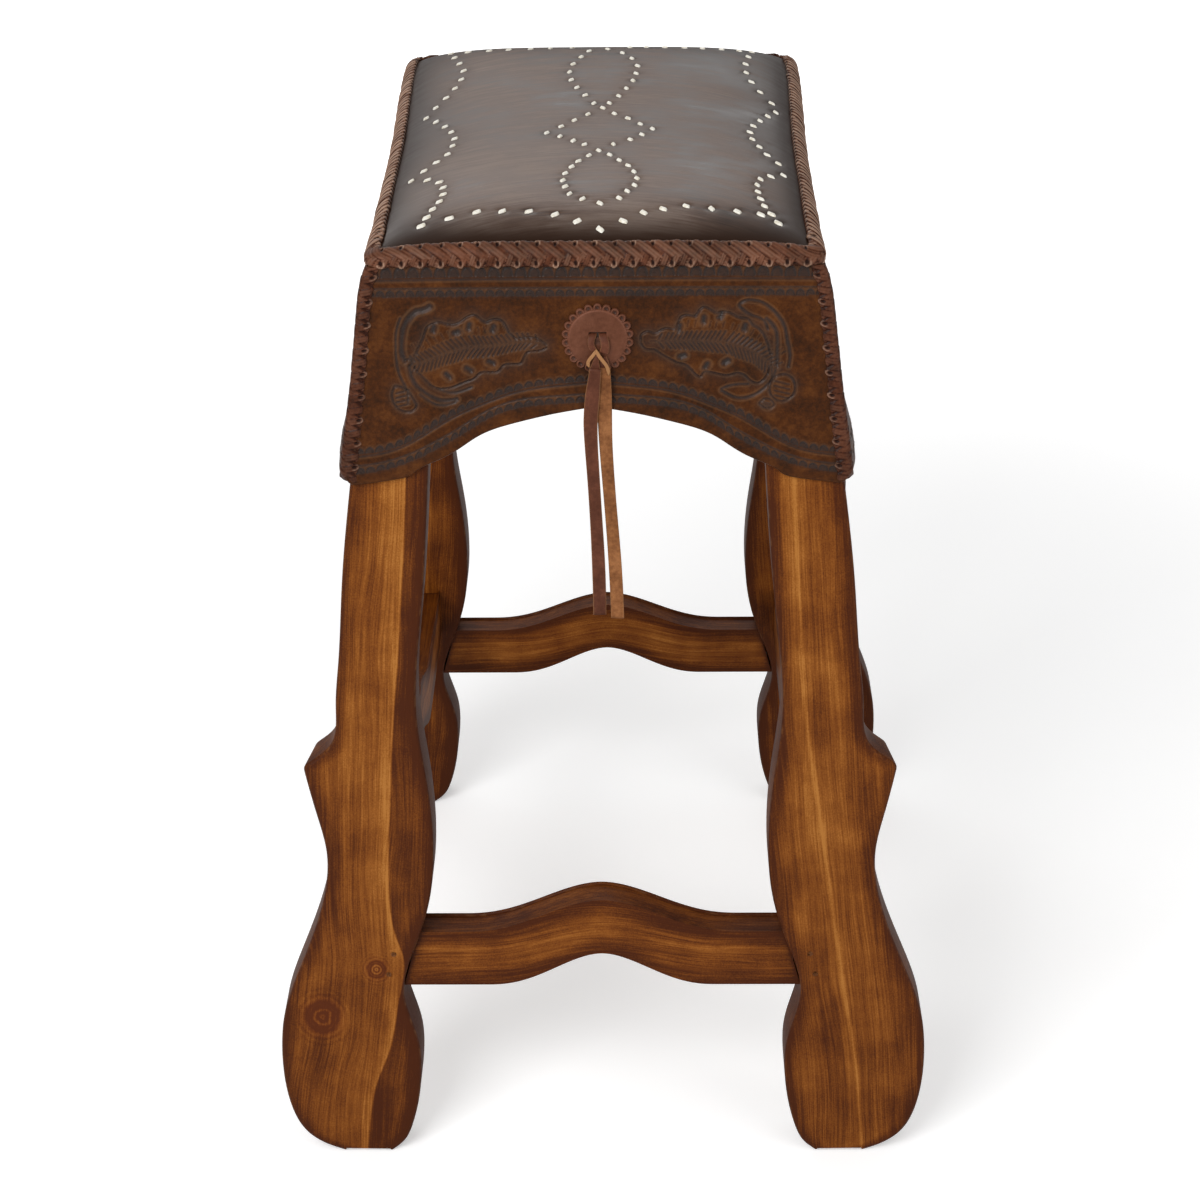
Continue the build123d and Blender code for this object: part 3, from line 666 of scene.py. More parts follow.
def pad_grid(columns, rows, inset):
    """Grid over the pad: nested rounded rectangles, closer towards the seam, at the seat's height."""
    u, v = (np.sin(way * math.pi / 2) for way in square_grid(columns, rows))
    level = np.maximum(np.abs(u), np.abs(v))
    half_x, half_y = HALF_WIDTH - inset, HALF_LENGTH - inset
    x, y = u * half_x, v * half_y
    radius = CORNER_RADIUS * level**3
    cx, cy = half_x * level - radius, half_y * level - radius
    dx, dy = np.abs(x) - cx, np.abs(y) - cy
    pull = np.where((dx > 0) & (dy > 0), np.maximum(dx, dy) / np.maximum(np.hypot(dx, dy), 1e-6), 1)
    x = np.where(pull < 1, np.sign(x) * (cx + dx * pull), x)
    y = np.where(pull < 1, np.sign(y) * (cy + dy * pull), y)
    x = x * (1 - waist(y) / HALF_WIDTH)
    z = seat_top(x * HALF_WIDTH / half_x, y * HALF_LENGTH / half_y)
    return np.stack([x, y, z], -1)


# Lines of rawhide stitches on the seat, as points (x, y) and a count of stitches
STITCH_LINES = [
    ([(-122.5, -197), (-114.8, -169), (-109.1, -144), (-115.3, -119), (-135.5, -105)], 9),
    ([(-127.6, -90), (-113.0, -60), (-108.3, -30), (-115.6, 3), (-134.0, 40)], 9),
    ([(-128.2, 60), (-115.7, 99), (-111.1, 138), (-116.4, 168), (-124.8, 205)], 8),
    ([(129.5, -193), (118.1, -156), (116.8, -134), (123.6, -110), (137.4, -96)], 9),
    ([(134.2, -72), (120.8, -40), (116.5, -14), (124.2, 20), (138.8, 52)], 9),
    ([(135.6, 72), (123.2, 110), (117.8, 145), (120.5, 176), (126.2, 204)], 7),
    ([(-103.9, -190.3), (-84.3, -181.6), (-65.0, -181), (-46.8, -183.2), (-28.2, -187.6), (-12.4, -197.8),
      (4.2, -207.5), (19.7, -197.8), (33.8, -185.9), (48.4, -180.7), (64.6, -176), (82.7, -177.9),
      (99.9, -181.7), (116.6, -183.5)], 14),
    ([(3.2, -171), (-16.9, -155), (-24.2, -130), (-16.6, -93), (1.1, -62)], 10),
    ([(16.1, -162), (28.8, -134), (27.5, -107), (9.2, -73)], 8),
    ([(-9.1, -48), (-24.2, -33), (-38.4, -19)], 4),
    ([(-28.6, -4), (-13.8, 17), (3.0, 39)], 4),
    ([(12.9, -48), (27.8, -33), (41.5, -11)], 4),
    ([(32.4, 1), (22.3, 14), (12.1, 26)], 3),
    ([(-3.2, 52), (-18.6, 92), (-24.1, 140), (-9.6, 188)], 8),
    ([(8.9, 51), (23.4, 92), (29.9, 140), (18.5, 180), (5.3, 195)], 9),
    ([(-110.7, 200), (-75.7, 197), (-42.8, 201), (-23.8, 203)], 6),
    ([(23.2, 203), (62.2, 202), (97.3, 200), (115.2, 201)], 7),
]


def stitch_places():
    """Place and turn of each stitch, evenly spaced along its line, turned as the hide was pulled."""
    places = []
    for line, count in STITCH_LINES:
        shares = np.linspace(0, 1, count)
        if count == len(line):
            shares = walk(line) / walk(line)[-1]
        middle = curve([(*p, 0) for p in line], shares)[:, :2]
        turn = np.where(middle[:, 0] < 0, 58.0, -62.0)
        turn = np.where(np.abs(middle[:, 0]) < 45, np.sign(middle[:, 0]) * -76.0, turn)
        wild = rng.normal(0, 1, (count, 4))
        size = 1 + 0.16 * smooth(-150, -205, middle[:, 1])
        places.append(np.column_stack([
            middle + wild[:, :2] * 0.5, np.radians(turn + 7 * wild[:, 2]), (8.6 + 0.35 * wild[:, 3]) * size,
            (4.3 + 0.2 * wild[:, 0]) * size * size,
        ]))
    return np.concatenate(places)


stitches = stitch_places()


def well_depth(x, y):
    """Depth of the leather round the stitches: a small well at each, and a faint pull around it."""
    depth = np.zeros_like(x)
    for sx, sy in stitches[:, :2]:
        near = (x - sx) ** 2 + (y - sy) ** 2
        depth += 0.8 * np.exp(-near / 12) + 0.1 * np.exp(-near / 90)
    return np.minimum(depth, 1.4)


leather_top = pad_grid(190, 250, 0.0)
well = well_depth(leather_top[..., 0], leather_top[..., 1])
leather_top[..., 2] -= well
leather_under = pad_grid(48, 64, 2.3)
leather_under[..., 2] -= 2.0
points, faces = shell(leather_top, leather_under)
seat_leather = piece(
    "seat_leather", points, faces, seat_leather_paint(), hides="seat_cover",
    values={
        "crease": np.concatenate([well.ravel(), np.zeros(leather_under[..., 0].size)]),
        # How far down the front roll a point lies, which darkens the seat's colour as painted shade
        "roll": smooth(CROWN + 1.5, CROWN - 10, points[:, 2] - SEAM + 3 * smooth(0, -150, points[:, 1])),
    },
)
foam_top = pad_grid(48, 64, 3.3)
foam_top[..., 2] = np.maximum(foam_top[..., 2] - 3.0, 739.0)
foam_base = foam_top.copy()
foam_base[..., :2] *= 0.994
foam_base[..., 2] = BOARD_TOP
foam_paint = leather_paint(
    "foam", (0.75, 0.7, 0.5), (0.72, 0.66, 0.46), (0.68, 0.6, 0.4), 0.9, marked=False,
)
points, faces = shell(foam_top, foam_base)
seat_foam = piece("seat_foam_pad", points, faces, foam_paint, hides="seat_foam")


def make_stitches():
    """Rawhide stitches: small pillows on a skewed, almost diamond plan, laid on the leather."""
    a, b = square_grid(9, 9)
    square = np.maximum(np.abs(a), np.abs(b))
    diamond = np.maximum((np.abs(a) ** 1.12 + np.abs(b) ** 1.12) ** 0.893, 1e-6)
    draw_in = np.where(square > 0, square / diamond, 1)
    a, b = a * draw_in, b * draw_in
    pillow = np.sqrt(np.clip(1 - square**4, 0, 1))
    turn, long, wide = (stitches[:, i, None, None] for i in (2, 3, 4))
    skew = 0.5 * np.sign(stitches[:, 0, None, None])
    a2, b2 = a * long / 2 + skew * b * wide / 2, b * wide / 2
    x = stitches[:, 0, None, None] + a2 * np.cos(turn) - b2 * np.sin(turn)
    y = stitches[:, 1, None, None] + a2 * np.sin(turn) + b2 * np.cos(turn)
    ground = seat_top(x, y) - 0.75
    upper = np.stack([x, y, ground + 0.35 + 1.15 * pillow], -1)
    lower = np.stack([x, y, ground - 0.6], -1)
    n = a.size
    grid = np.arange(n).reshape(a.shape)
    border = np.concatenate([grid[:-1, 0], grid[-1, :-1], grid[:0:-1, -1], grid[0, :0:-1]])
    rim = np.stack([border, np.roll(border, -1), np.roll(border, -1) + n, border + n], -1)
    one = np.concatenate([grid_quads(*a.shape), grid_quads(*a.shape, start=n)[:, ::-1], rim])
    points = np.stack([upper, lower], 1).reshape(len(stitches), 2 * n, 3)
    quads = (one[None] + (np.arange(len(stitches)) * 2 * n)[:, None, None]).reshape(-1, 4)
    piece("rawhide_lacing", points, quads, rawhide_paint(), hides="rawhide_stitches")


make_stitches()

# A run of lacing. At each hole a long strand starts down from the top holes and a short one up from the
# bottom holes: how far the two move on along the band, their widths, the share of the width where they
# cross, their thickness, how dark the painted shade in their grooves is, how pale the painted highlight on
# their crests is, how much painted shade darkens the whole run, and how many holes lie from one open hole
# to the next
Run = namedtuple("Run", "advances widths cross thick groove pale dull every")


def lacing(name, place, s, t, reach, runs, closed, hides):
    """Laced edge as one closed surface: flat strands over and under each other, and the holes they leave.

    place(s, t, h) is the band's surface: s along it, t from 0 to 1 across it, h above it. The band is
    reach wide. Each run comes with its hole places. The highest strand shows, with a groove at its edges.
    The grooves, the gaps between strands and the holes are darkened as painted shade, and the crests and
    the holes' rims are painted pale as highlights.
    """
    step = s[1] - s[0]
    length = len(s) * step
    across = t[None, :] * reach
    height = np.full((len(s), len(t)), -0.4)
    # The band under the strands is darkened throughout, as painted shade where no strand covers it
    hollow = np.full(height.shape, 0.65)
    crest_highlight = np.zeros(height.shape)
    swell = np.zeros(len(s))

    def rows_near(at, margin):
        """Rows of the grid near a place, and how far along from it they are."""
        rows = np.arange(int((at - margin) / step), int((at + margin) / step))
        rows = rows % len(s) if closed else rows[(rows >= 0) & (rows < len(s))]
        away = s[rows] - at
        return rows, ((away + length / 2) % length - length / 2 if closed else away)[:, None]

    def lay(rows, away, run, advance, width, low, high, over, wild):
        """Lays one strand from the low to the high share of the width; it dives under where it crosses."""
        rise = (high - low) * reach
        run_length = math.hypot(advance, rise)
        from_low = across - low * reach
        along = (away * advance + from_low * rise) / run_length**2
        off = np.abs(away * rise - from_low * advance) / run_length / (width / 2 * (1 + 0.04 * wild[0]))
        lift = run.thick * (1.05 + 0.12 * wild[1] - 0.9 * smooth(over - 0.07, over + 0.1, along))
        lift = lift - 1.1 * (1 - smooth(0.0, 0.1, along))
        top = lift + run.thick * np.sqrt(np.clip(1 - off**4, 0, 1))
        shows = (off < 1) & (along > -0.02) & (along < 1.02) & (top > height[rows])
        height[rows] = np.where(shows, top, height[rows])
        # Painted shade in the strand's edge grooves and where it comes out of its hole, plus the run's
        # painted shade all over
        dark = run.groove * (smooth(0.72, 0.98, off) + 0.5 * smooth(0.16, 0.0, along)) + run.dull
        hollow[rows] = np.where(shows, np.minimum(dark, 1), hollow[rows])
        light = run.pale * bell(off, 0.3, 0.35) * (1 + 0.3 * wild[2])
        crest_highlight[rows] = np.where(shows, light, crest_highlight[rows])

    def punch(rows, away, row, out, bright):
        """Punches one oval hole, darkened inside as painted shade, with a raised rim on its outer side that
        is painted pale as a highlight.
        """
        rise = across - row * reach
        oval = np.hypot(away / 1.1, rise / 1.9)
        pit = np.exp(-(oval**4))
        rim = bright * bell(oval, 0.4, 1.65) * smooth(-1.4, 0.9, out * rise + 0.5 * away)
        height[rows] += 0.55 * rim - 1.3 * pit
        hollow[rows] = np.maximum(hollow[rows] * (1 - 0.8 * rim), 1.4 * pit)
        crest_highlight[rows] = np.maximum(crest_highlight[rows], rim)

    for holes, run in runs:
        for at in holes:
            wild = rng.normal(0, 1, 4)
            near = rows_near(at, 42)
            lay(*near, run, run.advances[0], run.widths[0], 0.97, 0.03, 1 - run.cross, wild)
            lay(*near, run, run.advances[1], run.widths[1], 0.03, 0.97, run.cross, wild)
    for holes, run in runs:
        for at in holes[:: run.every]:
            for row, out in ((0.81, 1), (0.16, -1)):
                near = rows_near(at + rng.normal(0, 0.35), 7)
                punch(*near, row, out, rng.uniform(0.45, 1) * (0.6 if run.dull > 0.2 else 1.1))
            rows, away = rows_near(at, 8)
            swell[rows] += bell(away[:, 0], 3.4)
    edge = smooth(0.05, 0.0, t) + smooth(0.95, 1.0, t)
    height = height - 0.9 * edge[None, :]
    spread = t[None, :] + (t[None, :] - 0.5) * 0.13 * (swell[:, None] - 0.5) * edge[None, :]
    below = np.linspace(1, 0, 4)[None, :] + 0 * s[:, None]
    t_all = np.concatenate([spread, below], axis=1)
    h_all = np.concatenate([height, np.full(below.shape, -1.0)], axis=1)
    points = place(s[:, None] + 0 * t_all, t_all, h_all)
    quads = grid_quads(*t_all.shape, wrap_rows=closed, wrap_columns=True)
    if not closed:
        loop = np.arange(t_all.shape[1])
        cap = zipped(loop[: len(t)], np.concatenate([[0], loop[len(t):][::-1], [len(t) - 1]]))
        quads = [quads, cap, cap + (len(s) - 1) * t_all.shape[1]]
    piece(name, points, quads, lace, hides=hides, values=marks(hollow, crest_highlight, below))


# Band over the seat's seam: how far it stands out from the pad's outline, and its height, from below up
RIM_SHAPE = [
    (2.6, 736.4), (2.6, 739.6), (2.3, 742.6), (1.3, 745.8), (-0.6, 748.6), (-3.4, 750.7), (-7.4, 751.8),
]
BAND_WIDTH = 19.4


def rim_table():
    """Rounded rectangle walked from its front left corner: length so far, the arc's centre, the heading."""
    a, b = HALF_WIDTH - CORNER_RADIUS, HALF_LENGTH - CORNER_RADIUS
    arc = math.pi / 2 * CORNER_RADIUS
    steps = [0, arc / 2, 2 * a, arc, 2 * b, arc, 2 * a, arc, 2 * b, arc / 2]
    x = [-a, -a, a, a, a, a, -a, -a, -a, -a]
    y = [-b, -b, -b, -b, b, b, b, b, -b, -b]
    heading = [225, 270, 270, 360, 360, 450, 450, 540, 540, 585]
    return np.cumsum(steps), np.array(x, float), np.array(y, float), np.radians(heading)


RIM = rim_table()
FRONT_END, RIGHT_END, REAR_END = (RIM[0][i] - (math.pi / 4 * CORNER_RADIUS) for i in (3, 5, 7))
RIM_LENGTH = RIM[0][-1]


def on_rim(s, t, h):
    """Point on the band over the seam: it follows the outline, and dips where the pad dips at the corners.

    Its lower part has squarer corners, which meet the lacing below.
    """
    s = np.asarray(s, float) % RIM_LENGTH
    cx, cy, angle = (np.interp(s, RIM[0], column) for column in RIM[1:])
    t = np.clip(t, -0.05, 1.05)
    shape = curve(RIM_SHAPE, t)
    slope = unit(curve(RIM_SHAPE, np.clip(t, 0, 0.98) + 0.02) - curve(RIM_SHAPE, np.clip(t, 0, 0.98)))
    out = shape[..., 0] + slope[..., 1] * h
    up = shape[..., 1] - slope[..., 0] * h
    nx, ny = np.cos(angle), np.sin(angle)
    # the dip follows the pad's height a little in from its edge, against its height there at the front
    inwards, at_front, below = CORNER_RADIUS - 7, 8.54, 1.9
    edge_x, edge_y = cx + nx * inwards, cy + ny * inwards
    edge_x = edge_x * (1 - waist(edge_y) / HALF_WIDTH)
    dip = np.minimum((seat_top(edge_x, edge_y) - SEAM + below) / (at_front + below), 1.0)
    up = np.where(up > SEAM, SEAM + (up - SEAM) * dip, up)
    square = 1 + ((nx**4 + ny**4) ** -0.25 - 1) * smooth(0.8, 0.1, t)
    x, y = cx + nx * (CORNER_RADIUS + out) * square, cy + ny * (CORNER_RADIUS + out) * square
    return np.stack([x * (1 - waist(y) / HALF_WIDTH), y, up], -1)


def holes_between(first, last, pitch):
    """Places of the lacing holes: a pitch apart, with the small unevenness of hand work."""
    count = int(round((last - first) / pitch))
    even = first + (np.arange(count) + 0.5) * (last - first) / count
    return even + rng.normal(0, 0.35, count)


# Lacing leather: its dye colour is the painted shade of the grooves, gaps and holes, and its pale colour the
# painted highlight on crests and hole rims
lace = leather_paint(
    "lace_leather", (0.128, 0.042, 0.02), (0.079, 0.021, 0.008), (0.033, 0.008, 0.0027), 0.42, 0.08,
    pale=(0.56, 0.36, 0.25), wear_and_highlight=0.64, dye=(0.016, 0.0055, 0.0035),
)
# Pitch of the holes at the ends of the seat and along its sides
PITCH, SIDE_PITCH = 13.7, 7.4
front_holes = holes_between(0, FRONT_END, PITCH)
right_holes = holes_between(FRONT_END + 13, RIGHT_END, SIDE_PITCH)
rear_holes = holes_between(RIGHT_END, REAR_END, PITCH)
left_holes = holes_between(REAR_END, RIM_LENGTH - 13, SIDE_PITCH)
front_strands = np.concatenate([front_holes[:3] - 3 * PITCH, front_holes, front_holes[-2:] + 2 * PITCH])
rear_strands = np.concatenate([rear_holes[:2] - 2 * PITCH, rear_holes, rear_holes[-1:] + PITCH])
# The dull value darkens a whole run as painted shade, most of all down the corners
wide_run = Run((27.0, 10.0), (6.0, 5.2), 0.34, 0.85, 0.9, 0.2, 0.02, 1)
between_run = Run((24.0, 8.0), (5.0, 4.6), 0.42, 0.6, 0.9, 0.16, 0.1, 50)
left_run = Run((15.0, 6.0), (5.0, 3.6), 0.2, 1.25, 1.3, 1.2, 0.0, 50)
right_run = left_run._replace(advances=(-15.0, -6.0))
corner_run = Run((11.0, 4.0), (6.4, 5.4), 0.45, 0.55, 0.8, 0.08, 0.27, 2)
edge_runs = [
    (front_strands + 6.6, between_run), (front_strands, wide_run),
    (rear_strands + 6.6, between_run), (rear_strands, wide_run),
    (right_holes, right_run), (left_holes, left_run),
]
lacing("edge_braid", on_rim, np.linspace(0, RIM_LENGTH, 1900, endpoint=False), np.linspace(0, 1, 36),
       BAND_WIDTH, edge_runs, True, "edge_lacing")

# Skirts: tooled leather hanging from the seam. Their lower edge, as a share of the half width and a height
ARCH = [(0, 632.8), (0.158, 627.8), (0.278, 622.8), (0.406, 616.3), (0.522, 605.4), (0.606, 595.9),
        (0.722, 584.9), (0.86, 576.6), (1, HEM)]


def arch(share):
    """Height of a skirt's lower edge at a share of its half width: an arch between rounded corners."""
    dense = curve(ARCH, np.linspace(0, 1, 400))
    share = np.abs(share)
    low = np.interp(share, dense[:, 0], dense[:, 1])
    off = np.clip((share - 0.955) / 0.045, 0, 1)
    return low + 8.0 * (1 - np.sqrt(1 - off * off * 0.98))


def front_wave(x, z):
    """How far a front or rear skirt stands out of its plane: soft waves that grow towards the hem."""
    low = smooth(735, 590, z)
    curl = 2.6 * bell(np.abs(x), 30, 118) * smooth(660, 600, z)
    corner = 2.2 * smooth(140, 182, np.abs(x)) * smooth(625, HEM, z)
    return 0.9 * np.sin(x / 47 + 0.8) * low + curl + corner


def side_wave(y, z, side):
    """How far a side skirt stands out of its plane: a soft ear behind each corner, near the hem.

    The front ears are larger, and the left skirt's ears lie closer to its corners.
    """
    middle = 207 if side < 0 else 200
    ear = (7.0 - 3.5 * smooth(-60, 60, y)) * bell(np.abs(y), 28, middle)
    return ear * smooth(655, 590, z) + 0.9 * np.sin(y / 61 - 0.4) * smooth(735, 600, z) - drawn_in(y, z)


# Borders of stamps, from the top down, as a share of the half width and a height
TOP_BORDER = [(0, 732.6), (0.5, 732.6), (1, 731.6)]
SECOND_BORDER = [(0, 717.0), (0.5, 717.0), (1, 716.6)]
UPPER_BORDER = [(0, 655), (0.15, 652.5), (0.315, 647.5), (0.444, 638.8), (0.567, 628.8), (0.644, 620.5),
                (0.728, 611), (0.81, 604.2), (0.9, 600.8), (1, 599.5)]
LOWER_BORDER = [(0, 639.5), (0.15, 637.5), (0.315, 634), (0.433, 626), (0.544, 613.5), (0.65, 602.8),
                (0.767, 592.5), (0.878, 587), (1, 585)]

# The two leaves of a front skirt, as (x, z): stems have a width and a depth too, and the side says on
# which side of the rib the long marks lie
LEFT_LEAF = {
    "upper": [
        (-39, 679), (-45, 683.4), (-53, 684.1), (-61, 684.1), (-65, 687.8), (-67, 692.9), (-71, 697.3),
        (-77, 697.3), (-81, 695.8), (-85, 698), (-89, 700.9), (-94, 699.5), (-98, 696.6), (-103, 694.4),
        (-109, 694.4), (-114, 695.8), (-118, 695.1), (-123, 691.4), (-125, 685.6), (-128, 679),
        (-131, 672.4),
    ],
    "lower": [
        (-39, 676.8), (-45, 674.6), (-52, 673.8), (-55, 669.4), (-57, 665.7), (-63, 665), (-70, 663.5),
        (-73, 659.8), (-80, 659), (-86, 658.3), (-90, 654.6), (-97, 651.6), (-104, 648.6), (-110, 647.1),
        (-117, 647.1), (-122, 650.1), (-126, 654.6), (-130, 659), (-133, 663.5),
    ],
    "rib": [
        (-134, 665), (-125, 667.2), (-114, 671.6), (-103, 675.3), (-93, 677.5), (-79, 678.2),
        (-65, 680.4), (-50, 681.2), (-40, 679),
    ],
    "ovals": [
        (-118, 691.4), (-102, 688.5), (-93, 692.9), (-76, 691.4), (-78, 666.4), (-94, 661.3),
        (-109, 656.8),
    ],
    "oval_turns": [80, 20, 75, 70, -25, -30, -45],
    "stems": [
        ([
            (-120, 707.5), (-124, 705.3), (-130, 703.8), (-134, 700.2), (-138, 694.4), (-140, 687.1),
            (-141, 679.7), (-141, 673.8), (-139, 667.9),
        ], 1.7, 1.1),
        ([
            (-141, 699), (-144, 690), (-145, 679), (-145, 669.4), (-144, 660.5), (-141, 651.6),
            (-138, 644.2), (-138, 637),
        ], 0.8, 0.7),
        ([
            (-136, 664), (-135, 657), (-132, 650.1), (-126, 644.2), (-120, 640.4), (-114, 638.2),
            (-108, 638.2), (-103, 639),
        ], 1.3, 1.0),
        ([
            (-139, 667), (-136, 669), (-134, 666), (-136, 663),
        ], 0.8, 0.7),
        ([
            (-129, 642.7), (-123, 638.2), (-117, 635.2), (-110, 635.2), (-104, 636.7),
        ], 0.8, 0.7),
        ([
            (-117, 647), (-108, 644), (-98, 645.5), (-92, 648),
        ], 0.8, 0.6),
    ],
    "buds": [
        [
            (-147, 648.6), (-149, 642.7), (-148, 636.7), (-145, 632.2), (-140, 630), (-135, 630.7),
            (-132, 634.4), (-134, 638.9), (-137, 644.2), (-142, 647.9), (-147, 648.6),
        ],
    ],
    "side": 1,
}
RIGHT_LEAF = {
    "upper": [
        (28, 681.9), (28, 685.6), (33, 688.5), (37, 687.1), (42, 689.3), (47, 690.7), (51, 690),
        (54, 693.6), (56, 698.8), (61, 700.2), (66, 699.5), (69, 703.8), (72, 706), (77, 703.8),
        (82, 701.7), (88, 702.4), (93, 700.2), (98, 698), (103, 697.3), (106, 693.6), (110, 690.7),
        (114, 686.3), (117, 679), (119, 671.6),
    ],
    "lower": [
        (28, 680.4), (31, 676), (37, 675.3), (43, 671.6), (48, 668.7), (54, 665.7), (59, 664.2),
        (64, 659.8), (70, 655.3), (72, 658.3), (78, 658.3), (84, 656.8), (89, 656.1), (96, 657.6),
        (101, 656.1), (105, 652.4), (110, 650.1), (115, 653.1), (118, 659), (120, 663.5),
    ],
    "rib": [
        (123, 660.5), (117, 665.7), (110, 671.6), (103, 675.3), (95, 678.2), (87, 680.4), (76, 681.2),
        (66, 681.9), (55, 681.9), (45, 681.9), (35, 681.9),
    ],
    "ovals": [
        (57, 670.9), (74, 663.5), (88, 666.4), (55, 691.4), (72, 697.3), (84, 700.2), (101, 691.4),
    ],
    "oval_turns": [20, 60, 35, 80, 85, 60, 75],
    "stems": [
        ([
            (117, 690), (115, 695.1), (111, 698), (105, 700.2), (100, 703.8), (97, 707.5), (100, 710.4),
            (105, 711.1), (112, 709.7), (119, 705.3), (125, 698.8), (129, 691.4), (131, 681.2),
            (133, 670.9), (132, 662),
        ], 1.0, 1.0),
        ([
            (116, 697.3), (120, 693.6), (123, 688.5), (124, 679), (124, 669.4), (124, 662),
        ], 1.2, 0.9),
        ([
            (123, 659.8), (121, 653.1), (116, 647.1), (110, 642.7), (102, 639.7), (95, 639.7),
            (90, 641.9), (85, 644.9),
        ], 1.0, 0.9),
        ([
            (85, 646.4), (91, 648.6), (98, 649.4), (104, 649.4),
        ], 0.8, 0.6),
    ],
    "buds": [
        [
            (120, 651.6), (124, 655.3), (130, 656.1), (135, 653.1), (137, 647.9), (136, 641.9),
            (132, 638.2), (127, 636.7), (122, 638.9), (119, 644.9), (120, 651.6),
        ],
        [
            (112, 635.2), (115, 638.2), (120, 637.4), (122, 634.4), (119, 631.5), (115, 632.2),
            (112, 635.2),
        ],
    ],
    "side": -1,
}


class Tooling:
    """Relief, rubbed-in dye and pale lips of a skirt, pressed stroke by stroke into a grid of places on it.
    The lips are pale partly from wear and partly as a painted highlight.
    """

    def __init__(self, x, z):
        self.x, self.z = x, z
        self.relief = np.zeros_like(x)
        self.dye = np.zeros_like(x)
        self.lip = np.zeros_like(x)

    def press(self, where, relief, dye, lip=0.0):
        """Adds to the relief somewhere, and keeps the darkest dye and the palest lip there."""
        self.relief[where] += relief
        self.dye[where] = np.maximum(self.dye[where], dye)
        self.lip[where] = np.maximum(self.lip[where], lip)

    def window(self, line, margin):
        """Grid points near a line's box."""
        low, high = line.min(0) - margin, line.max(0) + margin
        return np.nonzero((self.x > low[0]) & (self.x < high[0]) & (self.z > low[1]) & (self.z < high[1]))

    def distance(self, line, where):
        """Distance from the grid points to a dense line."""
        here = np.stack([self.x[where], self.z[where]], -1)
        best = np.full(len(here), 1e9)
        for part in np.array_split(line, max(1, len(line) // 40)):
            best = np.minimum(best, ((here[:, None] - part[None]) ** 2).sum(-1).min(1))
        return np.sqrt(best)

    def cut(self, points, width=0.8, depth=0.7, dye=0.8, raised=0.25):
        """Swivel-knife cut: a round-bottomed groove with a raised lip on both sides."""
        line = curve(points, np.linspace(0, 1, max(4, 12 * len(points))))
        where = self.window(line, 3.5 * width)
        d = self.distance(line, where) / width
        relief = depth * (raised * np.exp(-((d - 1.9) ** 2) * 2.5) - bell(d, 1))
        self.press(where, relief, dye * bell(d, 1.15), 0.7 * np.exp(-((d - 2.0) ** 2) * 3))

    def bar(self, x, z, length, turn, width=0.8, depth=0.6, dye=0.7):
        """Short straight tool mark."""
        start, step = np.array([x, z]), length * np.array([math.cos(turn), math.sin(turn)])
        self.cut([start, start + step / 2, start + step], width, depth, dye)

    def bevel(self, outline, reach=4.0, depth=0.8):
        """Ground pressed down outside an outline, and darkened there."""
        loop = np.asarray(outline, float)
        where = self.window(loop, 3 * reach)
        x, z = self.x[where], self.z[where]
        inside = np.zeros(len(x), bool)
        for (x1, z1), (x2, z2) in zip(loop, np.roll(loop, -1, axis=0)):
            crosses = (z1 > z) != (z2 > z)
            inside ^= crosses & (x < (x2 - x1) * (z - z1) / (z2 - z1 + 1e-9) + x1)
        steps = np.linspace(0, 1, 8, endpoint=False)[:, None, None]
        dense = (loop + (np.roll(loop, -1, axis=0) - loop) * steps).reshape(-1, 2)
        d = self.distance(dense, where)
        slope = np.exp(-d / reach)
        self.press(where, np.where(inside, 0.45 * smooth(0, 5, d), -depth * slope), 0.6 * slope * ~inside)

    def stamps(self, border, half, pitch, size):
        """Row of scallop stamps along a border: each a pressed half round with a lip under it."""
        level = curve([(s * half, z) for s, z in border], np.linspace(0, 1, 600))
        walked = walk(level)
        slope = np.gradient(level[:, 1]) / np.maximum(np.gradient(level[:, 0]), 1e-6)
        columns = (level[:, 1], slope, walked)
        middle, steep, along = (np.interp(np.abs(self.x), level[:, 0], column) for column in columns)
        b = (self.z - middle) / np.hypot(1, steep)
        a = ((along / pitch) % 1 - 0.5) * pitch
        r = np.hypot(a / (0.47 * pitch), (b + 0.45 * size) / size)
        above = b > -0.5 * size
        ring = bell(r, 0.13, 0.86) * above
        fill = smooth(1.02, 0.7, r) * above
        rise = bell(r, 0.1, 1.12) * above
        lip = bell(r, 0.11, 1.2) * above
        shadow = np.exp(-((b / (0.85 * size)) ** 4))
        dye = np.clip(0.5 * fill * (r < 1.05) + 0.24 * shadow + 0.55 * ring, 0, 0.95)
        self.press(..., 0.3 * rise - 0.6 * ring - 0.25 * fill, dye, 0.55 * lip)

    def line(self, border, half, shift):
        """Scribed line beside a border."""
        level = curve([(s * half, z) for s, z in border], np.linspace(0, 1, 400))
        d = (self.z - shift - np.interp(np.abs(self.x), level[:, 0], level[:, 1])) / 0.6
        relief = 0.15 * np.exp(-((np.abs(d) - 2) ** 2) * 2) - 0.5 * bell(d, 1)
        self.press(..., relief, 0.8 * bell(d, 1.2), 0.6 * bell(d, 1, -2.4))

    def leaf(self, leaf, shift):
        """Feathery leaf with its rib, stems and buds, moved along the skirt."""
        def at(points):
            return [(x + shift, z) for x, z in points]

        def ray(k, turn, start, length, *depths):
            """Straight mark that starts beside a point of the rib and points in a direction."""
            x, z = rib[k] + start * np.array([math.cos(turn), math.sin(turn)])
            self.bar(x, z, length, turn, *depths)

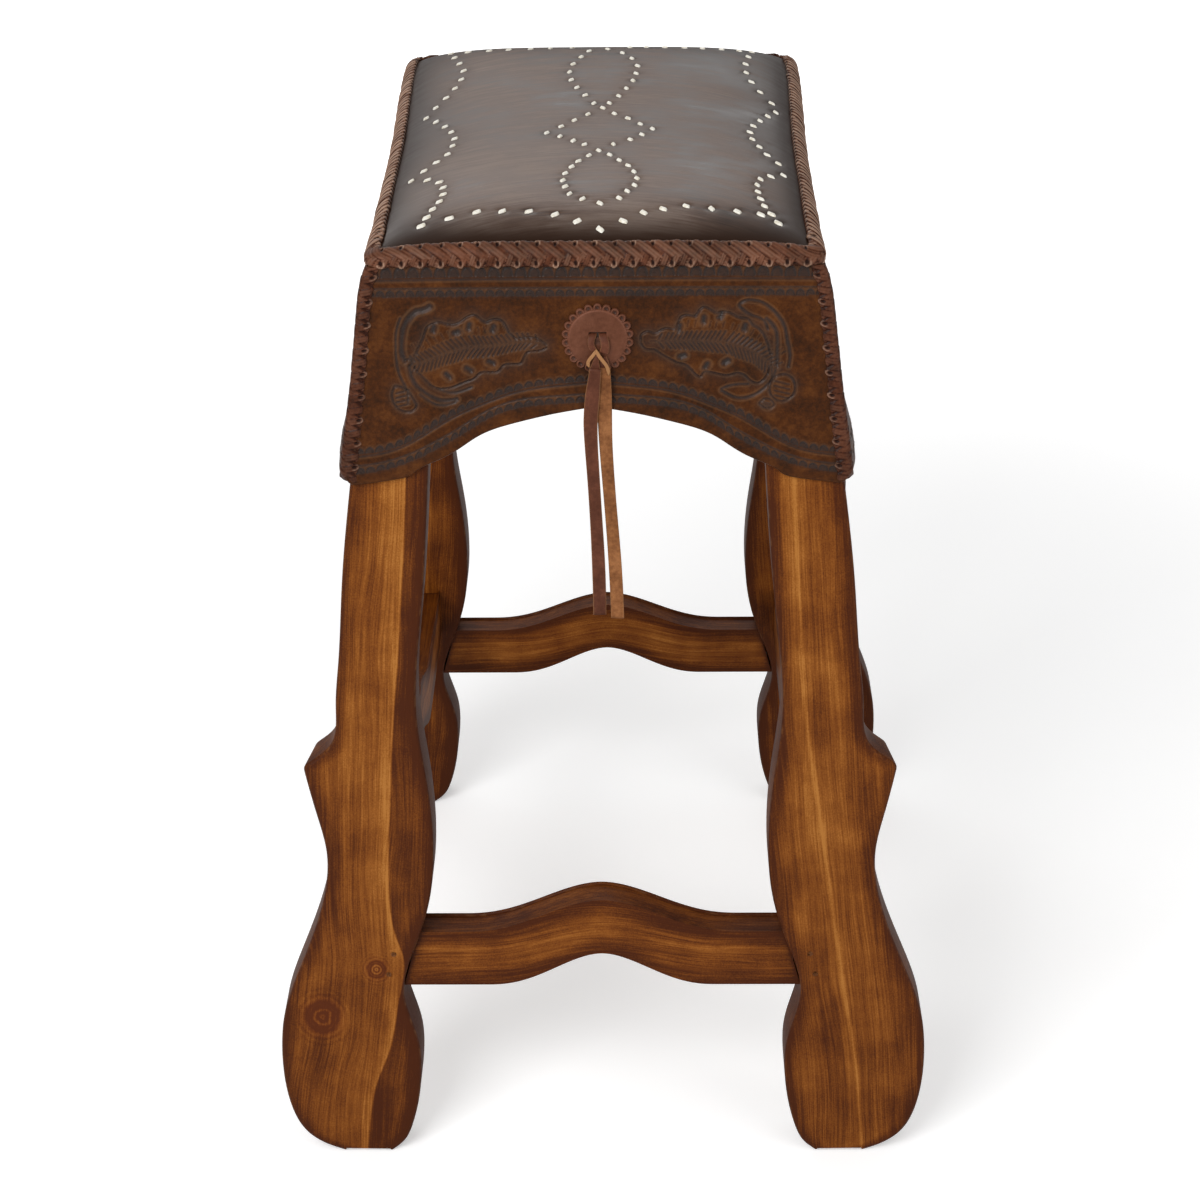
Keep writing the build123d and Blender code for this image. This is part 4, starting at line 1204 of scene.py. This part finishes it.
        self.bevel(at(leaf["upper"]) + at(leaf["lower"])[::-1])
        self.cut(at(leaf["upper"]), 0.75, 0.85)
        self.cut(at(leaf["lower"]), 0.75, 0.85)
        rib = curve(at(leaf["rib"]), np.linspace(0, 1, 60))
        way = unit(np.gradient(rib, axis=0))
        self.cut(at(leaf["rib"]), 0.6, 0.5, 0.6)
        where = self.window(rib, 12.0)
        self.press(where, 0.0, 0.42 * bell(self.distance(rib, where), 7.5))
        side = leaf["side"]
        heading = np.arctan2(way[:, 1], way[:, 0])
        for k in np.linspace(2, 56, 27).astype(int):
            grow = 1 - 0.45 * abs(k - 24) / 34
            ray(k, heading[k] + side * 2.05, 1.2, 8.5 * grow, 0.66, 0.75, 0.85)
            ray(k, heading[k] - side * 2.25, 1.2, 9.5 * grow, 0.66, 0.75, 0.85)
        for k in np.linspace(4, 44, 15).astype(int):
            ray(k, heading[k] + side * 1.75, 10.5, 4.5, 0.5, 0.35, 0.4)
        for middle, turn in zip(np.array(at(leaf["ovals"])), np.radians(leaf["oval_turns"])):
            step = 1.6 * np.array([math.cos(turn), math.sin(turn)])
            self.cut([middle - step, middle, middle + step], 1.7, 1.2, 1.0, 0.3)
        for points, width, depth in leaf["stems"]:
            self.cut(at(points), width, depth, 0.9, 0.4)
        for bud in leaf["buds"]:
            loop = at(bud)
            self.bevel(loop[:-1], 2.5, 0.6)
            self.cut(loop, 0.8, 0.8)
            middle = np.mean(loop[:-1], axis=0)
            span = np.ptp(np.asarray(loop), axis=0)
            for share in (-0.27, -0.09, 0.09, 0.27):
                x, z = middle[0] - 0.32 * span[0], middle[1] + share * span[1]
                self.bar(x, z, 0.6 * span[0], 0.25 * side, 0.6, 0.6, 0.8)


def tool_skirt(x, z, half, leaves):
    """All of a skirt's tooling: two borders at the top, two along the arch, and the leaves."""
    work = Tooling(x, z)
    work.stamps(TOP_BORDER, half, 9.4, 7.6)
    work.line(TOP_BORDER, half, -5.6)
    work.line(SECOND_BORDER, half, 3.6)
    work.stamps(SECOND_BORDER, half, 7.0, 4.8)
    work.stamps(UPPER_BORDER, half, 7.4, 4.4)
    work.line(UPPER_BORDER, half, -3.8)
    work.line(LOWER_BORDER, half, 3.8)
    work.stamps(LOWER_BORDER, half, 7.4, 4.4)
    for leaf, shift in leaves:
        work.leaf(leaf, shift)
    return work


def make_skirt(name, half_at, out_of, place, shifts, columns, rows):
    """One skirt: a finely divided tooled face, a plain back, and a rounded hem.

    half_at is its half width at a height, out_of how far it stands out of its plane, and place(x, z, out)
    its plane in the frame. The shifts move its left and right leaf along it.
    """
    u = np.linspace(-1, 1, columns)[:, None]
    w = np.linspace(0, 1, rows)[None, :]
    low = arch(u)
    z = low + (SEAM - 0.4 - low) * w
    x = u * half_at(z)
    work = tool_skirt(x, z, float(half_at(HEM)), zip((LEFT_LEAF, RIGHT_LEAF), shifts))
    hem = np.clip(1 - (z - low) / 1.6, 0, 1)
    rounding = 1.3 * (1 - np.sqrt(1 - hem**2 * 0.999))
    fade = smooth(0, 6, half_at(z) - np.abs(x) + 2)
    face = place(x, z, out_of(x, z) + work.relief * fade - rounding)
    picks = (np.linspace(0, columns - 1, columns // 8), np.linspace(0, rows - 1, 18))
    coarse = np.ix_(*(pick.astype(int) for pick in picks))
    back = place(x[coarse], z[coarse], out_of(x[coarse], z[coarse]) - SKIRT_THICKNESS)
    points, faces = shell(face, back)
    values = marks(np.ravel(work.dye * fade), np.ravel(work.lip * fade), back[..., 0].ravel())
    piece(name + "_tooled", points, faces, brown, hides=name, values=values)


# Its pale colour shows on the tooled lips, partly as wear and partly as a painted highlight
brown = leather_paint(
    "tooled_leather", (0.088, 0.0275, 0.005), (0.052, 0.0147, 0.0025), (0.024, 0.0078, 0.002), 0.36, 0.11,
    pale=(0.2, 0.1, 0.045), wear_and_highlight=0.34,
)
for end, back in ENDS:
    make_skirt(
        end + "_skirt", lambda z, back=back: skirt_side(z) - 0.2 - drawn_in(HALF_LENGTH * back, z),
        front_wave, lambda x, z, out, back=back: np.stack([x, back * (skirt_front(z) + out), z], -1),
        (4.1, 4.1), 470, 190,
    )
for hand, side in HANDS:
    make_skirt(
        hand + "_skirt", lambda z: skirt_front(z) - 3.4, lambda y, z, side=side: side_wave(y, z, side),
        lambda y, z, out, side=side: np.stack([side * (skirt_side(z) + out), y, z], -1),
        (-36.0, 36.0), 520, 160,
    )

# Lacing down the corners, over both skirts. How far it stands out sideways and forwards of the corner
CORNER_SHAPE = [(-8.9, 0.5), (-5.0, 1.0), (-1.6, 0.9), (0.2, 0.2), (0.9, -1.7), (1.0, -5.2), (0.5, -9.6)]
CORNER_TOP, CORNER_LENGTH = 736.6, 159.0


def corner_place(side, back):
    """Surface of the band round one corner: from the seam down, and from the front skirt to the side."""
    def place(s, t, h):
        shape = curve(CORNER_SHAPE, np.clip(t, -0.03, 1.03))
        t2 = np.clip(t, 0, 0.98)
        slope = unit(curve(CORNER_SHAPE, t2 + 0.02) - curve(CORNER_SHAPE, t2))
        z = CORNER_TOP - s
        x = shape[..., 0] - slope[..., 1] * h + skirt_side(z)
        y = shape[..., 1] + slope[..., 0] * h + skirt_front(z)
        round_off = 7.0 * smooth(147, 162, s) ** 2 * bell(np.asarray(t), 0.3, 0.5)
        on_side = smooth(0.3, 0.6, t) * 0.9
        x = x + side_wave(y * back, z, side) * on_side - drawn_in(y * back, z) * (1 - on_side)
        x = x + front_wave(x, z) * 0.25 - 0.45 * round_off
        y = y + front_wave(np.minimum(x, skirt_side(z)), z) * smooth(0.75, 0.4, t) - 0.45 * round_off
        return np.stack([side * x, back * y, z + 0 * x], -1)
    return place


for end, back in ENDS:
    for hand, side in HANDS:
        name = f"{end}_{hand}_corner"
        corner_holes = holes_between(-14, CORNER_LENGTH + 2, 8.6)
        lacing(name + "_braid", corner_place(side, back), np.linspace(0, CORNER_LENGTH, 300),
               np.linspace(0, 1, 50), BAND_WIDTH, [(corner_holes, corner_run)], False, name + "_lacing")

# Rosettes and ties. Their plane leans with the skirt
ROSETTE_X, ROSETTE_Z, SCALLOPS, DISC_RADIUS = 1.6, 686.0, 22, 21.6
ROSETTE_OUT = skirt_front(ROSETTE_Z)
red = leather_paint("rosette_leather", (0.13, 0.046, 0.024), (0.102, 0.034, 0.016), (0.075, 0.023, 0.01))
tie_leather = leather_paint(
    "tie_leather", (0.132, 0.043, 0.022), (0.09, 0.0275, 0.0132), (0.064, 0.018, 0.008),
    pale=(0.4, 0.2, 0.08), wear_and_highlight=0.9,
)
tie_suede = leather_paint(
    "tie_suede", (0.3, 0.125, 0.046), (0.2, 0.076, 0.026), (0.11, 0.038, 0.012), 0.8, pale=(0.4, 0.22, 0.1),
)


def rosette_place(back):
    """Point on a rosette's plane: across, up the lean, and out of it."""
    def place(a, b, out):
        c, s = 1 / math.hypot(1, LEAN), LEAN / math.hypot(1, LEAN)
        z = ROSETTE_Z + b * c + out * s
        y = ROSETTE_OUT - b * s + out * c
        return np.stack([ROSETTE_X + a, back * y, z], -1)
    return place


def make_rosette(end, back):
    """Rosette: a base with small looped scallops round it, and a domed disc sunk in at the slot."""
    tie_place = rosette_place(back)

    def place(a, b, out):
        """Point on the rosette, whose middle is a little below the slot."""
        return tie_place(a, b - 1.7, out)

    turn = np.linspace(0, 2 * math.pi, 14 * SCALLOPS, endpoint=False)[:, None]
    share = np.linspace(0.02, 1, 34)[None, :]
    lobes = np.abs(np.cos(SCALLOPS / 2 * turn))
    rim = 22.4 + 3.1 * lobes**0.55
    r = rim * share
    a, b = r * np.sin(turn), r * np.cos(turn)
    nearest = np.round(turn / (2 * math.pi) * SCALLOPS) / SCALLOPS * 2 * math.pi
    away = np.hypot(a - 22.3 * np.sin(nearest), b - 22.3 * np.cos(nearest))
    loop = bell(away, 0.6, 2.35) * (r > 20.0)
    pit = bell(away, 1.4) * (r > 20.0)
    height = 1.7 + 1.15 * loop - 0.7 * pit - 1.2 * np.clip((share - 0.965) / 0.035, 0, 1) ** 2
    top, bottom = place(a, b, height), place(a, b, 0.05 + 0 * a)
    points = np.concatenate([top, bottom[:, ::-1]], axis=1)
    quads = grid_quads(points.shape[0], points.shape[1], wrap_rows=True, wrap_columns=True)
    # The pits between the loops are darkened as painted shade, and the loops' crests are painted pale as a
    # highlight
    piece(end + "_rosette_loops", points, quads, red, hides=end + "_rosette_base",
          values=marks(0.75 * pit, 0.6 * loop, pit))
    u, v = square_grid(120, 120)
    square = np.maximum(np.abs(u), np.abs(v))
    pull = np.where(square > 0, square / np.maximum(np.hypot(u, v), 1e-9), 1)
    a, b = DISC_RADIUS * u * pull, DISC_RADIUS * v * pull
    r = np.hypot(a, b) / DISC_RADIUS
    dome = 2.7 + 1.9 * (1 - r**2) - 1.5 * np.clip((r - 0.93) / 0.07, 0, 1) ** 2
    pulled = 0.4 * smooth(5.4, 4.4, np.abs(a)) * smooth(4.0, 2.2, np.abs(b))
    sunk = np.maximum(smooth(6.4, 5.6, np.abs(a)) * smooth(2.2, 1.4, np.abs(b - 3.2)), pulled)
    pick = np.linspace(0, 119, 20).astype(int)
    coarse = np.ix_(pick, pick)
    lower = place(a[coarse], b[coarse], 1.2 + 0 * a[coarse])
    points, faces = shell(place(a, b, dome - 2.3 * sunk), lower)
    # The slot is darkened as painted shade, and a pale ring round the dome's upper edge is a painted
    # highlight
    ring = bell(r, 0.03, 0.955) * smooth(-10, 14, b)
    piece(end + "_rosette_dome", points, faces, red, hides=end + "_rosette_disc",
          values=marks(0.9 * sunk.ravel(), ring.ravel(), lower[..., 0].ravel()))


def strap(path, across, width, thick):
    """Flat strap along a path: a rounded bar section, its flat side held by the across vectors.

    Its cut edges are marked, because they are paler than its faces.
    """
    path, across = np.asarray(path, float), unit(np.asarray(across, float))
    along = unit(np.gradient(path, axis=0))
    across = unit(across - (across * along).sum(-1, keepdims=True) * along)
    up = np.cross(across, along)
    turn = np.linspace(0, 2 * math.pi, 20, endpoint=False) + math.pi / 20
    c = np.sign(np.cos(turn)) * np.abs(np.cos(turn)) ** 0.35
    s = np.sign(np.sin(turn)) * np.abs(np.sin(turn)) ** 0.75
    width, thick = np.broadcast_to(width, len(path)), np.broadcast_to(thick, len(path))
    points = path[:, None] + across[:, None] * (c[None, :, None] * width[:, None, None] / 2)
    points = points + up[:, None] * (s[None, :, None] * thick[:, None, None] / 2)
    m, k = points.shape[:2]
    j = np.arange(k // 2 - 1)
    cap = np.stack([j, j + 1, k - 2 - j, k - 1 - j], -1)
    quads = np.concatenate([grid_quads(m, k, wrap_columns=True), cap, cap + (m - 1) * k])
    raw = np.broadcast_to(0.45 * smooth(0.86, 0.98, np.abs(c)), (m, k))
    return points.reshape(-1, 3), quads, raw.ravel()


def join(parts):
    """Several straps as one set of points, quads and marks."""
    points, quads, raw, count = [], [], [], 0
    for p, q, r in parts:
        points.append(p)
        quads.append(q + count)
        raw.append(r)
        count += len(p)
    return np.concatenate(points), np.concatenate(quads), np.concatenate(raw)


def strap_piece(name, made, material, body, hides):
    """A strap or several as one piece, with its pale edges."""
    points, quads, raw = made
    return piece(name, points, quads, material, body=body, hides=hides,
                 values={"ridge": raw, "hollow": np.zeros(len(raw))})


# Short lengths of a tie, as lines across, up and out of the rosette's plane: the halves that come out of
# the slot and draw together, the crossing where both straps turn their pale backs out, the wedge where
# the left tail starts between them, and the right tail's start under them
LOOP_LEFT = [(-3.0, 2.2, 0.4), (-3.7, 0.8, 3.8), (-4.6, -2.6, 5.8), (-4.0, -6.4, 6.4), (-2.4, -9.2, 6.2)]
LOOP_RIGHT = [(3.4, 2.2, 0.4), (3.8, 0.8, 3.8), (4.9, -2.6, 5.8), (5.2, -7.0, 6.4), (4.2, -11.0, 6.2)]
TURNED_LEFT = [(-0.9, -8.4, 6.9), (-2.6, -11.2, 8.1), (-5.6, -14.8, 8.3), (-6.9, -18, 7.9), (-6, -21, 7.3)]
TURNED_RIGHT = [(-1.2, -8.0, 7.4), (1.0, -12.6, 8.5), (4.6, -17.4, 8.5), (7.0, -22.0, 7.9), (7.6, -27, 7)]
WEDGE = [(-0.6, -10.6, 6.6), (-0.8, -13.6, 7.4), (-1.3, -17.6, 7.7), (-1.9, -21.6, 7.7), (-2.3, -25.0, 7.6)]
UNDER = [(3.0, -14.5, 5.6), (3.9, -18.6, 5.9), (4.0, -23.0, 5.9), (3.9, -25.5, 5.9)]

# Tails: how far each hangs before the middle of both, its route as x from the rosette's middle and a height,
# its length in metres, its leather, its twist in degrees, and how much narrower it starts
TAIL_WIDTH, TAIL_THICKNESS, TAIL_MIDDLE = 10.2, 1.7, 8.2
TAILS = {
    "left": (0.7, [(-1.6, 665), (-5.6, 632), (-5.6, 610), (-3.7, 576.8), (-0.4, 502.3), (-0.5, 469)],
             0.196, tie_leather, 6, 1.8),
    "right": (-1.3, [(3.9, 665), (4.6, 640), (4.7, 612), (6.8, 575), (12, 499), (12.6, 465)],
              0.2, tie_suede, -8, 0.4),
}


def tail_line(name, points):
    """Points read off a tail's own smooth line."""
    data = bpy.data.curves.new(name + "_line", "CURVE")
    data.dimensions = "3D"
    line = data.splines.new("NURBS")
    line.points.add(len(points) - 1)
    for point, place in zip(line.points, points):
        point.co = (*[c * MM for c in place], 1)
    line.order_u = 3
    line.use_endpoint_u = True
    line.resolution_u = 16
    made = put(name + "_line", data)
    mesh = bpy.data.meshes.new_from_object(made)
    places = np.zeros(len(mesh.vertices) * 3)
    mesh.vertices.foreach_get("co", places)
    bpy.data.objects.remove(made)
    bpy.data.curves.remove(data)
    bpy.data.meshes.remove(mesh)
    return places.reshape(-1, 3) / MM


def make_tie(end, back):
    """One tie: its strap comes out of the slot in two halves, crosses, and hangs in two tails."""
    body = end + "_tie"
    place = rosette_place(back)
    share = np.linspace(0, 1, 26)

    def length_of(points, width, thick):
        """Short length of strap along a line given in the rosette's plane."""
        line = curve(points, share)
        return strap(place(*line.T), np.tile([1.0, 0, 0], (26, 1)), width, thick)

    halves = [length_of(LOOP_LEFT, 5.6 - 1.6 * share, 1.7), length_of(LOOP_RIGHT, 5.6 + 0.6 * share, 1.7)]
    strap_piece(end + "_tie_loop", join(halves), tie_leather, "stool", end + "_tie_bight")
    leather = [length_of(WEDGE, 1.4 + 7.4 * share, 1.6), length_of(UNDER, 6.5 + 3.4 * share, 1.6)]
    tip = smooth(0.0, 0.16, share) * smooth(1.0, 0.84, share)
    suede = [length_of(TURNED_LEFT, 1.0 + 1.6 * tip, 1.2), length_of(TURNED_RIGHT, 1.0 + 1.7 * tip, 1.2)]
    suede = [(points, quads, 0.75 - 0.9 * pale) for points, quads, pale in suede]
    strap_piece(end + "_tie_crossing", join(leather + suede), tie_leather, body, end + "_tie_knot")
    for hand, (out, route, length, leather, twist, narrower) in TAILS.items():
        y = skirt_front(route[0][1]) + TAIL_MIDDLE + out
        line = tail_line(f"{end}_{hand}", [(ROSETTE_X + x, back * y, z) for x, z in route])
        walked = walk(line)
        share = np.linspace(0, 1, 90)
        even = np.stack([np.interp(share * walked[-1], walked, line[:, i]) for i in range(3)], -1)
        spin = np.radians(twist * np.sin(share * 5.0 + 0.4))
        across = np.stack([np.cos(spin), np.sin(spin) * back, 0 * spin], -1)
        wide = TAIL_WIDTH - 0.8 * smooth(0.1, 0.35, share) + 0.4 * np.sin(share * 9)
        wide = wide - narrower * smooth(0.12, 0.0, share)
        tail = strap(even, across, wide, TAIL_THICKNESS)
        made = strap_piece(f"{end}_{hand}_strap", tail, leather, body, f"{end}_{hand}_tail")


for end, back in ENDS:
    make_rosette(end, back)
    make_tie(end, back)


def plain(material, *parts):
    """Gives CAD nodes one material."""
    for part in parts:
        data = nodes[part].data
        data.materials.clear()
        data.materials.append(material)


plain(plain_wood_paint("rail_pine", (0.5, 0.33, 0.17), (0.38, 0.23, 0.11)),
      "front_rail", "rear_rail", "right_rail", "left_rail")
plain(plain_wood_paint("board_plywood", (0.6, 0.44, 0.26), (0.45, 0.31, 0.17)), "seat_board")
plain(metal_paint("screw_steel", (0.6, 0.6, 0.58), 0.35), "seat_board_screws")
plain(plain_wood_paint("filled_nail", (0.2, 0.065, 0.011), (0.13, 0.036, 0.005)), "stretcher_nails")

# Floor, backdrop light and lamps
floor_mesh = bpy.data.meshes.new("floor")
floor_mesh.from_pydata([(-9, -9, 0), (9, -9, 0), (9, 9, 0), (-9, 9, 0)], [], [(0, 1, 2, 3)])
floor = put("floor", floor_mesh)
floor_paint = Paint("floor")
floor_mesh.materials.append(floor_paint.finish((0.86, 0.86, 0.86), 0.9))
# The camera alone sees the floor brightened to white, and more so far from the stool. Its shadow stays
seen = floor_paint.node("ShaderNodeLightPath", output="Is Camera Ray")
far = floor_paint.length(floor_paint.place()).step(700.0, 3200.0)
floor_paint.feed(floor_paint.shader.inputs["Emission Color"], seen * (far * 0.7 + 0.36))
floor_paint.shader.inputs["Emission Strength"].default_value = 1.0

# Pale even light from all round, which the camera sees as white
world = bpy.data.worlds.new("studio")
bpy.context.scene.world = world
world.use_nodes = True
tree = world.node_tree
tree.nodes.clear()
mixed = tree.nodes.new("ShaderNodeMixShader")
rays = tree.nodes.new("ShaderNodeLightPath")
tree.links.new(rays.outputs["Is Camera Ray"], mixed.inputs[0])
for socket, strength in ((1, 0.4), (2, 1.0)):
    sky = tree.nodes.new("ShaderNodeBackground")
    sky.inputs["Color"].default_value = (1, 1, 1, 1)
    sky.inputs["Strength"].default_value = strength
    tree.links.new(sky.outputs[0], mixed.inputs[socket])
output = tree.nodes.new("ShaderNodeOutputWorld")
tree.links.new(mixed.outputs[0], output.inputs["Surface"])


def lamp(name, place, aim, wide, tall, power):
    """Soft lamp at a place, pointing at another."""
    data = bpy.data.lights.new(name, "AREA")
    data.shape = "RECTANGLE"
    data.size, data.size_y, data.energy = wide, tall, power
    made = put(name, data)
    made.location = place
    made.rotation_euler = (Vector(aim) - Vector(place)).to_track_quat("-Z", "Y").to_euler()


lamp("key", (-1.3, -2.2, 2.1), (0, 0, 0.4), 1.6, 1.6, 62)
lamp("fill", (2.0, -1.6, 1.2), (0, 0, 0.4), 1.8, 1.8, 18)
lamp("back", (-1.0, 2.8, 2.15), (0, 0, 0.75), 4.4, 0.6, 27)

bpy.context.scene.view_settings.view_transform = "Standard"
